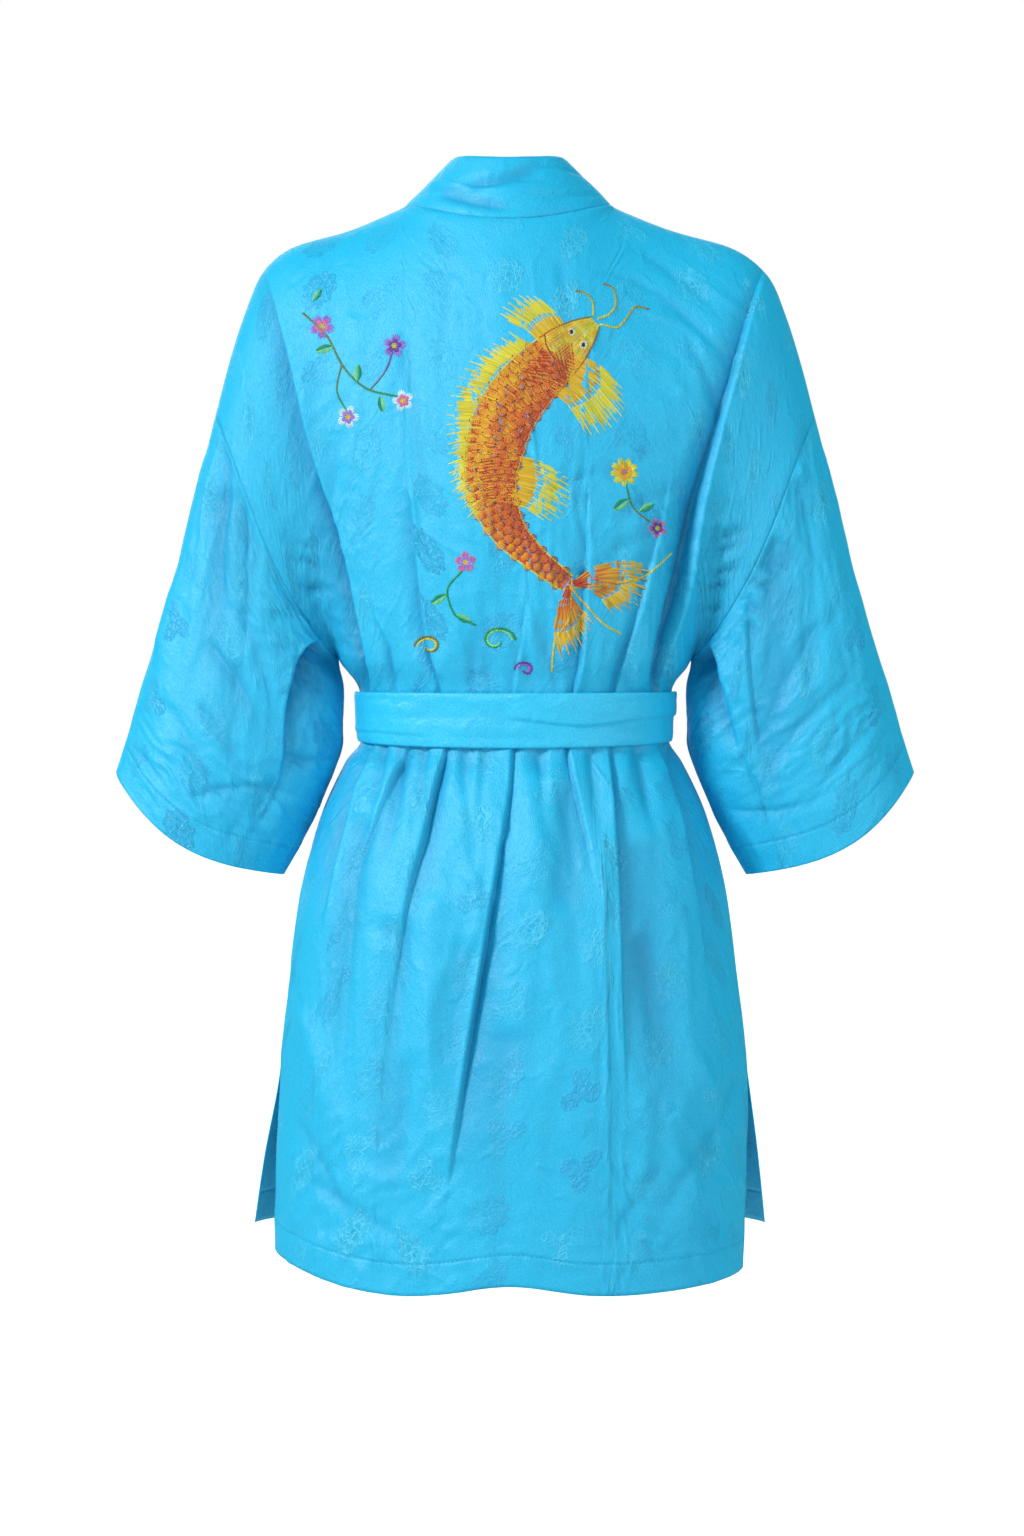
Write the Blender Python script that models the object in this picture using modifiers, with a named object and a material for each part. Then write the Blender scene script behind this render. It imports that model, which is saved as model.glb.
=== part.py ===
"""A short kimono robe, worn and hollow: thin cloth walls for each cut piece, open at neck, hem and cuffs.

The wearer faces -Y, the wearer's left is +X and up is +Z. The origin is the middle of the neck opening,
level with the points where the shoulders meet the neckband. Sizes in the tables are millimetres, and a
"drop" is how far something lies below the origin.
"""

import math
from collections import namedtuple

import bpy
from mathutils import Matrix, Vector

MM = 0.001

# The cloth, and the gap left at each seam
WALL = 1.5
BAND_WALL = 2.0
BELT_WALL = 2.0
SEAM_GAP = 0.3

# The neck opening
NECK_HALF = 83
NECK_BACK = 72
NECK_DIP = 22
NECK_LEAN = 5
LEAN_FADE = 70

# The neckband: how it is sewn on, where it lies flat, and how it stands round the neck
BAND_WIDTH = 50
BAND_RISE = 0.25
BAND_START = 1.3
BAND_LIES = 0.6
COLLAR_HALF = 45
COLLAR_BACK = 49
COLLAR_RISE = 31
COLLAR_SIDE_RISE = 7
COLLAR_BULGE = 3

# Levels from the underarm to the hem, and how the rows of cloth between them run
UNDERARM_DROP = 357
ROW_RISE = 50
ROW_RISE_FROM = 0.2
BELT_TOP = 386
BELT_BOTTOM = 424
BELT_SAG = 8
SAG_FADE = (440, 560)
SLIT_DROP = 692
SLIT_OPEN = 12
HEM_DROP = 845
HEM_NOTCH = 9
HEM_NOTCH_SHARE = 0.18
HEM_LIFT_FROM = 0.3
HEM_LIFT_LEFT = 18
HEM_LIFT_RIGHT = 4
FRONT_HEM_DROP = 809
FRONT_HEM_DIP = 14

# How the upper panels hang from the shoulders, and where the armhole starts to draw them out
BACK_FULLNESS = 8
FRONT_FULLNESS = 16
FRONT_FULL_POWER = 1.3
FRONT_FULL_SHIFT = 0.15
BACK_HANG = 1.25
FRONT_HANG = 1.6
EDGE_HANG = 1.9
DRAWN_FROM = 0.35
DRAWN_POWER = 1.6

# The wearer's left front lies on the right one up to here, and sinks to its own level by there
LAP = 4.5
LAP_FADE = (62, 100)

# The sash, its knot and its two ends
BELT_CLEAR = 3.0
BELT_ROWS = 3
BELT_LAPPED_RIGHT = (-100, -72)
BELT_LAPPED_LEFT = (84, 104)
BELT_OVER_LAP = LAP + 1
KNOT_SIZE = (52, 34, 50)
KNOT_ROUND = 12
KNOT_Y = -121
KNOT_BOTTOM = (BELT_TOP + BELT_BOTTOM + KNOT_SIZE[2]) / 2
TAIL_LENGTH = 330
TAIL_UNEVEN = 28
TAIL_WIDTH = 44
TAIL_TOP = 22
TAIL_SPREAD = 0.3
TAIL_APART = (2, 12)
TAIL_CLEAR = 6.5
TAIL_HOLLOW = 2
TAIL_WAVE = 2.5
TAIL_WAVE_COUNT = 0.6
TAIL_WAVE_FADE = 0.2

# Where an edge stops short of its seam line, for the seam's gap, over a panel about this wide
PANEL_HALF = 300
UNDERARM_STEP = 0.8
UNDERARM_STEP_LENGTH = 0.1
TOP_EDGE = 0.001
SLEEVE_START = 0.002
UNDERARM_CLEAR = 2.2
UNDERARM_TURNS = (110, 180)

# Folds start and end softly, and die away before a seam
FOLD_START = (-4, 14)
FOLD_END = (0.4, 1.1)
CALM_SIDE = (0.8, 0.93)
CALM_TOP = (0.02, 0.12)
CALM_SLEEVE = (0.07, 0.25)

# How finely each piece is drawn
BACK_COLUMNS = 36
BACK_ROW_COUNTS = (14, 4, 2, 17)
FRONT_COLUMNS = 13
FRONT_ROW_COUNTS = (14, 4, 2, 14)
SLEEVE_COLUMNS = 28
SLEEVE_ROWS = 12
BAND_COLUMNS = 3
COLLAR_STEPS = 5
BELT_COLUMNS = 48
TAIL_ROWS = 12
TAIL_COLUMNS = 4

# Share of a half panel, from the middle of the back to the armhole, where the neck ends
NECK_SHARE = COLLAR_STEPS / (BACK_COLUMNS / 2)

# The body's sections are between an ellipse, 2, and a rounded box
ROUNDNESS = 2.25

# Sections of the robe's body below the arms: half widths and depths at each drop
Section = namedtuple("Section", "drop back_half front_half lean back front")
SECTIONS = (
    Section(290, 150, 150, 3, 101, 112),
    Section(357, 141, 141, 0, 96, 104),
    Section(386, 124, 124, 0, 90, 95),
    Section(424, 122.5, 122.5, 0, 88, 92),
    Section(442, 134, 134, 1, 95, 98),
    Section(486, 154, 154, 1, 108, 108),
    Section(549, 170, 170, 1, 120, 117),
    Section(613, 178, 178, 1, 127, 122),
    Section(692, 186, 187, 1, 133, 126),
    Section(760, 187, 198, 3, 137, 129),
    Section(850, 187, 209, 5, 141, 132),
)

# The line along the top of the shoulder and over the upper arm, from the neck to the sleeve seam
Shoulder = namedtuple("Shoulder", "share out drop")
SHOULDER = (
    Shoulder(NECK_SHARE, 83, 0),
    Shoulder(0.42, 126, 18),
    Shoulder(0.58, 177, 33),
    Shoulder(0.70, 202, 54),
    Shoulder(0.80, 216, 86),
    Shoulder(0.90, 228, 124),
    Shoulder(1.00, 239, 166),
)

# Rings of a sleeve, from the armhole to the cuff: outer and inner edge, and how deep the tube is
Ring = namedtuple("Ring", "share out_x out_drop in_x in_drop back front dip")
RINGS = (
    Ring(0.00, 239, 166, 142, 357, 52, 52, 0),
    Ring(0.20, 254, 222, 135, 385, 55, 55, 2),
    Ring(0.45, 275, 305, 136, 424, 56, 56, 6),
    Ring(0.70, 297, 379, 157, 484, 54, 53, 12),
    Ring(1.00, 319, 450, 183, 532, 50, 48, 20),
)
# The armhole seam bows down in its lower part, and the cuff's two faces meet in a narrow edge
SEAM_BOW = 11
BOW_TURNS = (20, 120)
BOW_FADE = 0.5
CUFF_LENS = 1.3

# How far each front's neckband seam lies past the middle, on its own side
Opening = namedtuple("Opening", "drop seam")
OPENINGS = (
    Opening(300, 27),
    Opening(357, 18),
    Opening(424, 9),
    Opening(600, -4),
    Opening(850, -20),
)

# Folds as soft troughs (depth below 0) or ridges, drawn on the view of the robe from behind
Fold = namedtuple("Fold", "x drop to_x to_drop bow width depth")
BACK_FOLDS = (
    Fold(118, 386, 191, 80, -10, 11, -11),
    Fold(103, 374, 172, 100, -10, 10, 5),
    Fold(-116, 386, -187, 85, 10, 11, -10),
    Fold(-101, 374, -168, 110, 10, 10, 4),
    Fold(93, 388, 112, 290, 0, 8, -6),
    Fold(58, 388, 82, 225, 3, 9, -7),
    Fold(20, 388, 24, 300, 0, 8, -4),
    Fold(-48, 388, -74, 280, 2, 9, -7),
    Fold(-80, 388, -107, 300, 2, 8, -6),
    Fold(110, 428, 158, 600, 8, 11, -8),
    Fold(84, 428, 108, 500, 2, 9, -7),
    Fold(55, 430, 90, 640, 4, 13, -10),
    Fold(27, 446, 42, 510, 2, 11, 4),
    Fold(2, 430, 36, 680, 6, 11, -10),
    Fold(-22, 448, -14, 570, 2, 13, 5),
    Fold(-44, 430, -46, 505, 2, 10, -8),
    Fold(-75, 430, -84, 640, -3, 11, -8),
    Fold(-114, 428, -145, 640, -4, 11, -9),
)
FRONT_FOLDS = (
    Fold(119, 388, 189, 85, -10, 11, -11),
    Fold(-118, 388, -188, 90, 10, 11, -11),
    Fold(92, 388, 116, 270, 2, 9, -7),
    Fold(62, 388, 96, 190, 3, 9, -6),
    Fold(-70, 388, -98, 220, 3, 9, -7),
    Fold(-96, 388, -122, 300, 2, 8, -6),
    Fold(104, 428, 148, 640, 6, 11, -9),
    Fold(76, 428, 100, 600, 3, 10, -7),
    Fold(-72, 428, -94, 680, 3, 11, -8),
    Fold(-104, 428, -148, 600, -5, 11, -9),
)
SLEEVE_FOLDS = (
    Fold(190, 420, 258, 250, 10, 12, -7),
    Fold(176, 400, 210, 300, -4, 10, -6),
    Fold(186, 458, 246, 400, 5, 10, 5),
    Fold(250, 505, 288, 380, 5, 11, -5),
)


def smooth_step(low, high, at):
    """0 up to low, 1 from high, and a smooth rise between them."""
    share = min(max((at - low) / (high - low), 0.0), 1.0)
    return share * share * (3 - 2 * share)


def mix(first, second, share):
    return first + (second - first) * share


def look_up(table, column, at):
    """A column's value where the table's first column reaches `at`, on a smooth curve through its rows."""
    keys = [row[0] for row in table]
    values = [getattr(row, column) for row in table]
    at = min(max(at, keys[0]), keys[-1])
    spans = range(len(keys) - 1)
    slopes = [(values[i + 1] - values[i]) / (keys[i + 1] - keys[i]) for i in spans]
    index = max(i for i in spans if keys[i] <= at)

    def tangent(i):
        if i == 0:
            return slopes[0]
        if i == len(keys) - 1:
            return slopes[-1]
        before, after = slopes[i - 1], slopes[i]
        if before * after <= 0:
            return 0.0
        return 2 * before * after / (before + after)

    span = keys[index + 1] - keys[index]
    t = (at - keys[index]) / span
    between = mix(values[index], values[index + 1], 3 * t**2 - 2 * t**3)
    bend = (t**3 - 2 * t**2 + t) * tangent(index) + (t**3 - t**2) * tangent(index + 1)
    return between + bend * span


def body_point(side, turn, drop, face):
    """A point on the robe's body. Turn runs from 0 at the side seam to 90 degrees at the middle.

    The waist lies a little lower at the back, where the sash sags.
    """
    angle = math.radians(turn)
    sag = BELT_SAG * math.sin(angle) * (1 - smooth_step(*SAG_FADE, drop))
    level = drop - sag if face == "back" else drop
    half = look_up(SECTIONS, face + "_half", level)
    deep = look_up(SECTIONS, face, level)
    angle = math.atan2(deep * math.sin(angle), half * math.cos(angle))
    cos_part = (abs(math.cos(angle)) / half) ** ROUNDNESS
    sin_part = (abs(math.sin(angle)) / deep) ** ROUNDNESS
    reach = (cos_part + sin_part) ** (-1 / ROUNDNESS)
    sign = 1 if face == "back" else -1
    x = side * reach * math.cos(angle) + look_up(SECTIONS, "lean", drop)
    return Vector((x, sign * reach * math.sin(angle), -drop))


def turn_at(side, x, drop, face):
    """The turn at which the body's section reaches x."""
    low, high = 0.0, 150.0
    for _ in range(24):
        middle = (low + high) / 2
        if side * body_point(side, middle, drop, face).x > side * x:
            low = middle
        else:
            high = middle
    return low


def sleeve_point(side, turn, share, face):
    """A point on a sleeve. Turn runs from 0 along its outer edge to 180 degrees at the underarm."""
    outer = Vector((look_up(RINGS, "out_x", share), 0, -look_up(RINGS, "out_drop", share)))
    inner = Vector((look_up(RINGS, "in_x", share), 0, -look_up(RINGS, "in_drop", share)))
    angle = math.radians(turn)
    deep = look_up(RINGS, face, share)
    sign = 1 if face == "back" else -1
    point = mix(outer, inner, (1 - math.cos(angle)) / 2)
    across = (inner - outer).normalized()
    down = Vector((-across.z, 0, across.x))
    if down.z > 0:
        down = -down
    bow = SEAM_BOW * (1 - smooth_step(0, BOW_FADE, share)) * math.sin(angle) * smooth_step(*BOW_TURNS, turn)
    dip = look_up(RINGS, "dip", share) * math.sin(math.pi * (1 - math.cos(angle)) / 2)
    point += down * (dip + bow)
    point.y = sign * deep * max(math.sin(angle), 0) ** mix(1, CUFF_LENS, share)
    return Vector((side * point.x, point.y, point.z))


def top_point(share, face):
    """The panel's top edge: round the neck behind, then along the shoulder to the armhole."""
    if share <= NECK_SHARE and face == "back":
        angle = math.radians(90 * share / NECK_SHARE)
        drop = NECK_DIP * math.cos(angle) ** 2
        return Vector((NECK_HALF * math.sin(angle), NECK_BACK * math.cos(angle), -drop))
    return Vector((look_up(SHOULDER, "out", share), 0, -look_up(SHOULDER, "drop", share)))


def lean_at(drop):
    """The robe hangs a little to the wearer's left at the neck."""
    return NECK_LEAN * (1 - smooth_step(0, LEAN_FADE, drop))


def upper_point(side, share, v, face, turn_low, fall, extend):
    """A panel above the underarm. Share is 0 at its middle edge and 1 at the armhole; v runs down.

    Near the armhole the panel is drawn out to meet the sleeve's first ring.
    """
    if face == "back":
        top = top_point(share, face)
        hang = BACK_HANG
        outward = BACK_FULLNESS * math.sin(math.pi * v) * math.sqrt(max(1 - share, 0))
    else:
        top = top_point(mix(NECK_SHARE, 1, share), face)
        top += Vector((-1, 0, BAND_RISE)).normalized() * extend
        hang = FRONT_HANG
        full_share = min(share + FRONT_FULL_SHIFT, 1)
        outward = -FRONT_FULLNESS * math.sin(math.pi * v**FRONT_FULL_POWER) * math.sin(math.pi * full_share)
    top = Vector((side * top.x + lean_at(-top.z), top.y, top.z))
    bottom = body_point(side, mix(turn_low, 0, share), fall, face)
    point = mix(top, bottom, v ** mix(hang, EDGE_HANG, smooth_step(0, NECK_SHARE * 1.3, share)))
    point.y = mix(top.y, bottom.y, 1 - (1 - v) ** 2) + outward

    end = top_point(1, face)
    end = Vector((side * end.x + lean_at(-end.z), 0, end.z))
    plain_edge = mix(end, body_point(side, 0, UNDERARM_DROP, face), v**EDGE_HANG)
    drawn = max((share - DRAWN_FROM) / (1 - DRAWN_FROM), 0) ** DRAWN_POWER
    return point + (sleeve_point(side, 180 * v, 0, face) - plain_edge) * drawn


def panel_point(side, share, v, face, extend=0.0):
    """A point on a body panel. V is 0 at the top, 1 at the underarm, 2 and 3 round the sash, 4 at the hem.

    Extend carries a front past its own edge, in millimetres toward the robe's other side.
    """
    share = max(share, 0.0)
    v = max(v, 0.0)
    underarm_row = UNDERARM_DROP - ROW_RISE * (1 - smooth_step(ROW_RISE_FROM, 1, share))
    sag = BELT_SAG * math.cos(math.radians(90 * share)) if face == "back" else 0
    belt_bottom = BELT_BOTTOM + sag
    if v <= 1:
        fall = underarm_row
    elif v <= 2:
        fall = mix(underarm_row, BELT_TOP, v - 1)
    elif v <= 3:
        fall = mix(BELT_TOP, belt_bottom, v - 2)
    else:
        fall = mix(belt_bottom, hem_drop(side, share, face), v - 3)
    if face == "back":
        turn_low = 90
        turn_side = SLIT_OPEN * smooth_step(SLIT_DROP, HEM_DROP, fall)
    else:
        seam = look_up(OPENINGS, "seam", fall) - extend
        turn_low = turn_at(side, side * seam + look_up(SECTIONS, "lean", fall), fall, face)
        turn_side = 0
    if v <= 1:
        return upper_point(side, share, v, face, turn_low, fall, extend)
    return body_point(side, mix(turn_low, turn_side, share), fall, face)


def hem_drop(side, share, face):
    """Behind, the hem lifts a little in its middle and towards the slits."""
    if face == "front":
        return FRONT_HEM_DROP + FRONT_HEM_DIP * (1 - share)
    notch = HEM_NOTCH * math.exp(-((share / HEM_NOTCH_SHARE) ** 2))
    lift = HEM_LIFT_LEFT if side > 0 else HEM_LIFT_RIGHT
    return HEM_DROP - notch - lift * smooth_step(HEM_LIFT_FROM, 1, share)


def fold_push(folds, x, drop):
    """How far the folds push a point of the cloth outward."""
    push = 0.0
    for fold in folds:
        along_x = fold.to_x - fold.x
        along_drop = fold.to_drop - fold.drop
        length = math.hypot(along_x, along_drop)
        along = ((x - fold.x) * along_x + (drop - fold.drop) * along_drop) / length
        off = ((x - fold.x) * along_drop - (drop - fold.drop) * along_x) / length
        off -= fold.bow * math.sin(math.pi * min(max(along / length, 0), 1))
        fade = smooth_step(*FOLD_START, along) * (1 - smooth_step(*FOLD_END, along / length))
        push += fold.depth * math.exp(-((off / fold.width) ** 2)) * fade
    return push


def lap_at(side, x):
    """The wearer's left front rises over the right one where they cross."""
    return LAP * (1 - smooth_step(*LAP_FADE, x)) if side > 0 else 0.0


def front_point(side, share, v, extend=0.0):
    """A front's own surface, or past its edge where the neckband goes on, raised where it laps over."""
    point = panel_point(side, share, v, "front", extend)
    point.y -= lap_at(side, point.x)
    return point


def back_point(across, v):
    """The back panel, from -1 at the wearer's right edge to 1 at the left."""
    return panel_point(1 if across >= 0 else -1, abs(across), v, "back")


def with_folds(point_at, folds, across, v, keep=1.0):
    """A point moved along the cloth's outward direction by the folds that reach it."""
    here = point_at(across, v)
    push = fold_push(folds, here.x, -here.z) * keep
    if abs(push) < 0.01:
        return here
    near = 0.01
    down = point_at(across, v + near) - point_at(across, max(v - near, 0))
    sideways = point_at(across + near, v) - point_at(across - near, v)
    normal = sideways.cross(down).normalized()
    return here + normal * math.copysign(push, push * normal.y * here.y)


def fabric(name, colour, roughness):
    material = bpy.data.materials.new(name)
    material.use_nodes = True
    shader = material.node_tree.nodes["Principled BSDF"]
    shader.inputs["Base Color"].default_value = (*colour, 1)
    shader.inputs["Roughness"].default_value = roughness
    shader.inputs["Metallic"].default_value = 0
    return material


def cloth(name, rows, wall, material, ring=False):
    """A sheet through rows of points, made a wall of even thickness by Solidify."""
    width = len(rows[0])
    points = [point * MM for row in rows for point in row]
    faces = []
    for r in range(len(rows) - 1):
        for c in range(width if ring else width - 1):
            after = (c + 1) % width
            faces.append((r * width + c, r * width + after, (r + 1) * width + after, (r + 1) * width + c))
    mesh = bpy.data.meshes.new(name)
    mesh.from_pydata(points, [], faces)
    mesh.materials.append(material)
    mesh.shade_smooth()
    piece = bpy.data.objects.new(name, mesh)
    robe.objects.link(piece)
    thick = piece.modifiers.new("Wall", "SOLIDIFY")
    thick.thickness = wall * MM
    thick.offset = 0
    return piece


def steps(start, end, count):
    return [mix(start, end, i / count) for i in range(count + 1)]


def edge_at(v):
    """The share at which a panel's side edge lies, further from the seam where four panels meet."""
    step = UNDERARM_STEP * math.exp(-(((v - 1) / UNDERARM_STEP_LENGTH) ** 2))
    return 1 - (SEAM_GAP / 2 + step) / PANEL_HALF


def panel_rows(upper, blouse, belt, skirt):
    """Row values from the top edge to the hem, with so many rows in each stretch."""
    rows = steps(TOP_EDGE, 1, upper)
    rows += steps(1, 2, blouse)[1:] + steps(2, 3, belt)[1:] + steps(3, 4, skirt)[1:]
    return rows


def seam_calm(share, v):
    """Folds die away just before a seam, so that the two panels' edges stay a seam's gap apart."""
    return (1 - smooth_step(*CALM_SIDE, share)) * smooth_step(*CALM_TOP, v)


def make_back(material):
    columns = steps(1, -1, BACK_COLUMNS)
    rows = [
        [with_folds(back_point, BACK_FOLDS, c * edge_at(v), v, seam_calm(abs(c), v)) for c in columns]
        for v in panel_rows(*BACK_ROW_COUNTS)
    ]
    cloth("back", rows, WALL, material)


def make_front(name, side, material):
    columns = steps(0, 1, FRONT_COLUMNS)

    def surface(share, v):
        return front_point(side, share, v)

    rows = [
        [with_folds(surface, FRONT_FOLDS, c * edge_at(v), v, seam_calm(c, v)) for c in columns]
        for v in panel_rows(*FRONT_ROW_COUNTS)
    ]
    cloth(name, rows, WALL, material)


def make_sleeve(name, side, material):
    """A tube of cloth, from just past the armhole seam to the cuff."""
    rows = []
    for share in steps(0, 1, SLEEVE_ROWS):
        ring = []
        for index in range(SLEEVE_COLUMNS):
            full_turn = 360 * index / SLEEVE_COLUMNS
            face = "back" if full_turn <= 180 else "front"
            turn = full_turn if full_turn <= 180 else 360 - full_turn
            point = sleeve_point(side, turn, max(share, SLEEVE_START), face)
            point.x += side * UNDERARM_CLEAR * smooth_step(*UNDERARM_TURNS, turn)
            push = fold_push(SLEEVE_FOLDS, side * point.x, -point.z) * smooth_step(*CALM_SLEEVE, share)
            outward = 1 if face == "back" else -1
            point.y += outward * push * math.sqrt(max(math.sin(math.radians(turn)), 0))
            ring.append(point)
        rows.append(ring)
    cloth(name, rows, WALL, material, ring=True)


def collar_point(angle, width_share, side):
    """The neckband where it stands round the back of the neck. The angle is 0 at the middle of the back."""
    turn = math.radians(angle)
    base = top_point(NECK_SHARE * angle / 90, "back")
    rise = COLLAR_RISE + COLLAR_SIDE_RISE * math.sin(turn) ** 2
    tip = Vector((COLLAR_HALF * math.sin(turn), COLLAR_BACK * math.cos(turn), rise))
    point = mix(base, tip, width_share)
    point.y += COLLAR_BULGE * math.cos(turn) * math.sin(math.pi * width_share)
    return Vector((side * point.x + NECK_LEAN, point.y, point.z))


def band_point(side, v, width_share):
    """The neckband along a front's edge, standing up at the shoulder and lying flat further down."""
    base = front_point(side, 0, v)
    flat = front_point(side, 0, v, BAND_WIDTH * width_share)
    standing = 1 - smooth_step(0, BAND_LIES, v)
    if standing == 0:
        return flat
    stand = collar_point(90, 1, side) - collar_point(90, 0, side)
    reach = mix(flat - base, stand * width_share, standing)
    if width_share > 0:
        reach = reach.normalized() * BAND_WIDTH * width_share
    return base + reach


def make_neckband(material):
    """One strip, from the left hem up the front, round the back of the neck and down to the right hem."""
    shares = [BAND_START / BAND_WIDTH] + steps(0, 1, BAND_COLUMNS)[1:]
    angles = steps(90, 0, COLLAR_STEPS)

    def half_strip(side):
        rows = []
        for v in reversed(panel_rows(*FRONT_ROW_COUNTS)):
            row = [band_point(side, v, share) for share in shares]
            if v > 1:
                for point in row:
                    point.y -= fold_push(FRONT_FOLDS, point.x, -point.z)
            rows.append(row)
        return rows + [[collar_point(angle, share, side) for share in shares] for angle in angles[1:]]

    left, right = half_strip(1), half_strip(-1)
    cloth("neckband", left + right[-2::-1], BAND_WALL, material)


def waist_point(full_turn, drop, off):
    """A point round the waist, just outside the cloth. The turn is 90 at the middle of the back."""
    face = "back" if full_turn <= 180 else "front"
    half_turn = full_turn if full_turn <= 180 else 360 - full_turn
    side = 1 if half_turn <= 90 else -1
    turn = half_turn if half_turn <= 90 else 180 - half_turn
    point = body_point(side, turn, drop, face)
    outward = Vector((point.x / look_up(SECTIONS, "back_half", drop) ** 2, 0, 0))
    outward.y = point.y / look_up(SECTIONS, face, drop) ** 2
    outward.normalize()
    return point + outward * off


def belt_off(full_turn, drop):
    """The sash lies just outside the cloth, and further out over the lapped fronts."""
    point = waist_point(full_turn, drop, 0)
    if point.y >= 0:
        return BELT_CLEAR
    lapped = smooth_step(*BELT_LAPPED_RIGHT, point.x) * (1 - smooth_step(*BELT_LAPPED_LEFT, point.x))
    return BELT_CLEAR + BELT_OVER_LAP * lapped


def make_belt(material):
    rows = []
    for height_share in steps(0, 1, BELT_ROWS):
        row = []
        for index in range(BELT_COLUMNS):
            turn = 360 * index / BELT_COLUMNS
            sag = BELT_SAG * max(math.sin(math.radians(turn)), 0)
            drop = mix(BELT_TOP + sag / 2, BELT_BOTTOM + sag, height_share)
            row.append(waist_point(turn, drop, belt_off(turn, drop)))
        rows.append(row)
    cloth("belt_band", rows, BELT_WALL, material, ring=True)


def make_knot(material):
    """The sash's knot, a soft wrapped lump flattened against the sash."""
    bpy.ops.mesh.primitive_cube_add(size=1)
    knot = bpy.context.object
    knot.name = "belt_knot"
    knot.data.name = "belt_knot"
    knot.data.transform(Matrix.Diagonal(Vector(KNOT_SIZE) * MM).to_4x4())
    knot.location = Vector((0, KNOT_Y, -(BELT_TOP + BELT_BOTTOM) / 2)) * MM
    round_off = knot.modifiers.new("Round", "BEVEL")
    round_off.width = KNOT_ROUND * MM
    round_off.segments = 4
    knot.data.materials.append(material)
    knot.data.shade_smooth()
    for collection in list(knot.users_collection):
        collection.objects.unlink(knot)
    robe.objects.link(knot)


def make_tail(name, side, length, material):
    """A hanging end of the sash, gathered at the knot and spreading to its full width."""
    rows = []
    for share in steps(0, 1, TAIL_ROWS):
        drop = KNOT_BOTTOM + SEAM_GAP + length * share
        half_width = mix(TAIL_TOP, TAIL_WIDTH, smooth_step(0, TAIL_SPREAD, share)) / 2
        middle = side * (half_width + mix(*TAIL_APART, share))
        row = []
        for across in steps(-1, 1, TAIL_COLUMNS):
            x = middle + across * half_width
            front = body_point(1, turn_at(1, x, drop, "front"), drop, "front").y
            y = min(front - LAP - TAIL_CLEAR, KNOT_Y + TAIL_HOLLOW * across**2)
            wave = TAIL_WAVE * math.sin(math.tau * TAIL_WAVE_COUNT * across + side)
            row.append(Vector((x, y - wave * smooth_step(0, TAIL_WAVE_FADE, share), -drop)))
        rows.append(row)
    cloth(name, rows, BELT_WALL, material)


for old in list(bpy.data.objects):
    bpy.data.objects.remove(old, do_unlink=True)

robe = bpy.data.collections.new("kimono_robe")
bpy.context.scene.collection.children.link(robe)

BODY_BLUE = (0.05, 0.5, 0.82)
TRIM_BLUE = (0.07, 0.55, 0.85)
BODY_ROUGH = 0.42
TRIM_ROUGH = 0.38

make_back(fabric("back_silk", BODY_BLUE, BODY_ROUGH))
for name, side in (("left", 1), ("right", -1)):
    make_front("front_" + name, side, fabric("front_" + name + "_silk", BODY_BLUE, BODY_ROUGH))
    make_sleeve("sleeve_" + name, side, fabric("sleeve_" + name + "_silk", BODY_BLUE, BODY_ROUGH))
make_neckband(fabric("neckband_silk", TRIM_BLUE, TRIM_ROUGH))
make_belt(fabric("belt_band_silk", TRIM_BLUE, TRIM_ROUGH))
make_knot(fabric("belt_knot_silk", TRIM_BLUE, TRIM_ROUGH))
for name, side, length in (("left", 1, TAIL_LENGTH), ("right", -1, TAIL_LENGTH - TAIL_UNEVEN)):
    make_tail("belt_tail_" + name, side, length, fabric("belt_tail_" + name + "_silk", TRIM_BLUE, TRIM_ROUGH))
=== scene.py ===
"""A short kimono robe of figured blue silk, worn and hollow, seen from behind.

Sizes in the tables are millimetres. X is towards the wearer's left, and a drop is how far something lies
below the neck opening.
"""

import math

import bmesh
import bpy
import numpy as np
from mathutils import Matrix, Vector
from mathutils.bvhtree import BVHTree


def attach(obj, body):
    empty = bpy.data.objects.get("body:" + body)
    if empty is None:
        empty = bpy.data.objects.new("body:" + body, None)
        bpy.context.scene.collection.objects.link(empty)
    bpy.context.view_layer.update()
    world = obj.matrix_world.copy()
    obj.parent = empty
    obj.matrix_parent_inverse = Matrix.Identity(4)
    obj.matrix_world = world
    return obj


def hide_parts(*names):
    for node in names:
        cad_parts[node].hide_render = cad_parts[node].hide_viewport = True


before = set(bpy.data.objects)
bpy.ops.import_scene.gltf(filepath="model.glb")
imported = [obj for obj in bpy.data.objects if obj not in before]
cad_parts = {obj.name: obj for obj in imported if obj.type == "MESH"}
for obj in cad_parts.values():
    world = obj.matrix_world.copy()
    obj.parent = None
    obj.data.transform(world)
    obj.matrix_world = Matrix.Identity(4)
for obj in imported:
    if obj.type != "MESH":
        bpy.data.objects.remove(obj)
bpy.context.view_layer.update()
bpy.ops.object.select_all(action="DESELECT")


# The studio: a white surround, a pale floor well below the hem, and large soft boxes before the robe's
# back and above it. The camera stands level with the sash, 2.2 m behind the wearer.
PICTURE_HEIGHT = 1536
MM_IN_A_PIXEL = 0.8
CAMERA_AT = (0.0024, 2.2, -0.4472)
CAMERA_TURN = (math.radians(90), 0, math.radians(180))
SENSOR = 24
FLOOR_DROP = 1.35
LIGHTS_AIM = (0, 0, -0.4)


def feed(node, inputs):
    """Sets or links a node's inputs, given by name or place."""
    for key, value in dict(inputs).items():
        value = getattr(value, "socket", value)
        if isinstance(value, bpy.types.NodeSocket):
            node.id_data.links.new(value, node.inputs[key])
        else:
            node.inputs[key].default_value = value


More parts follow.
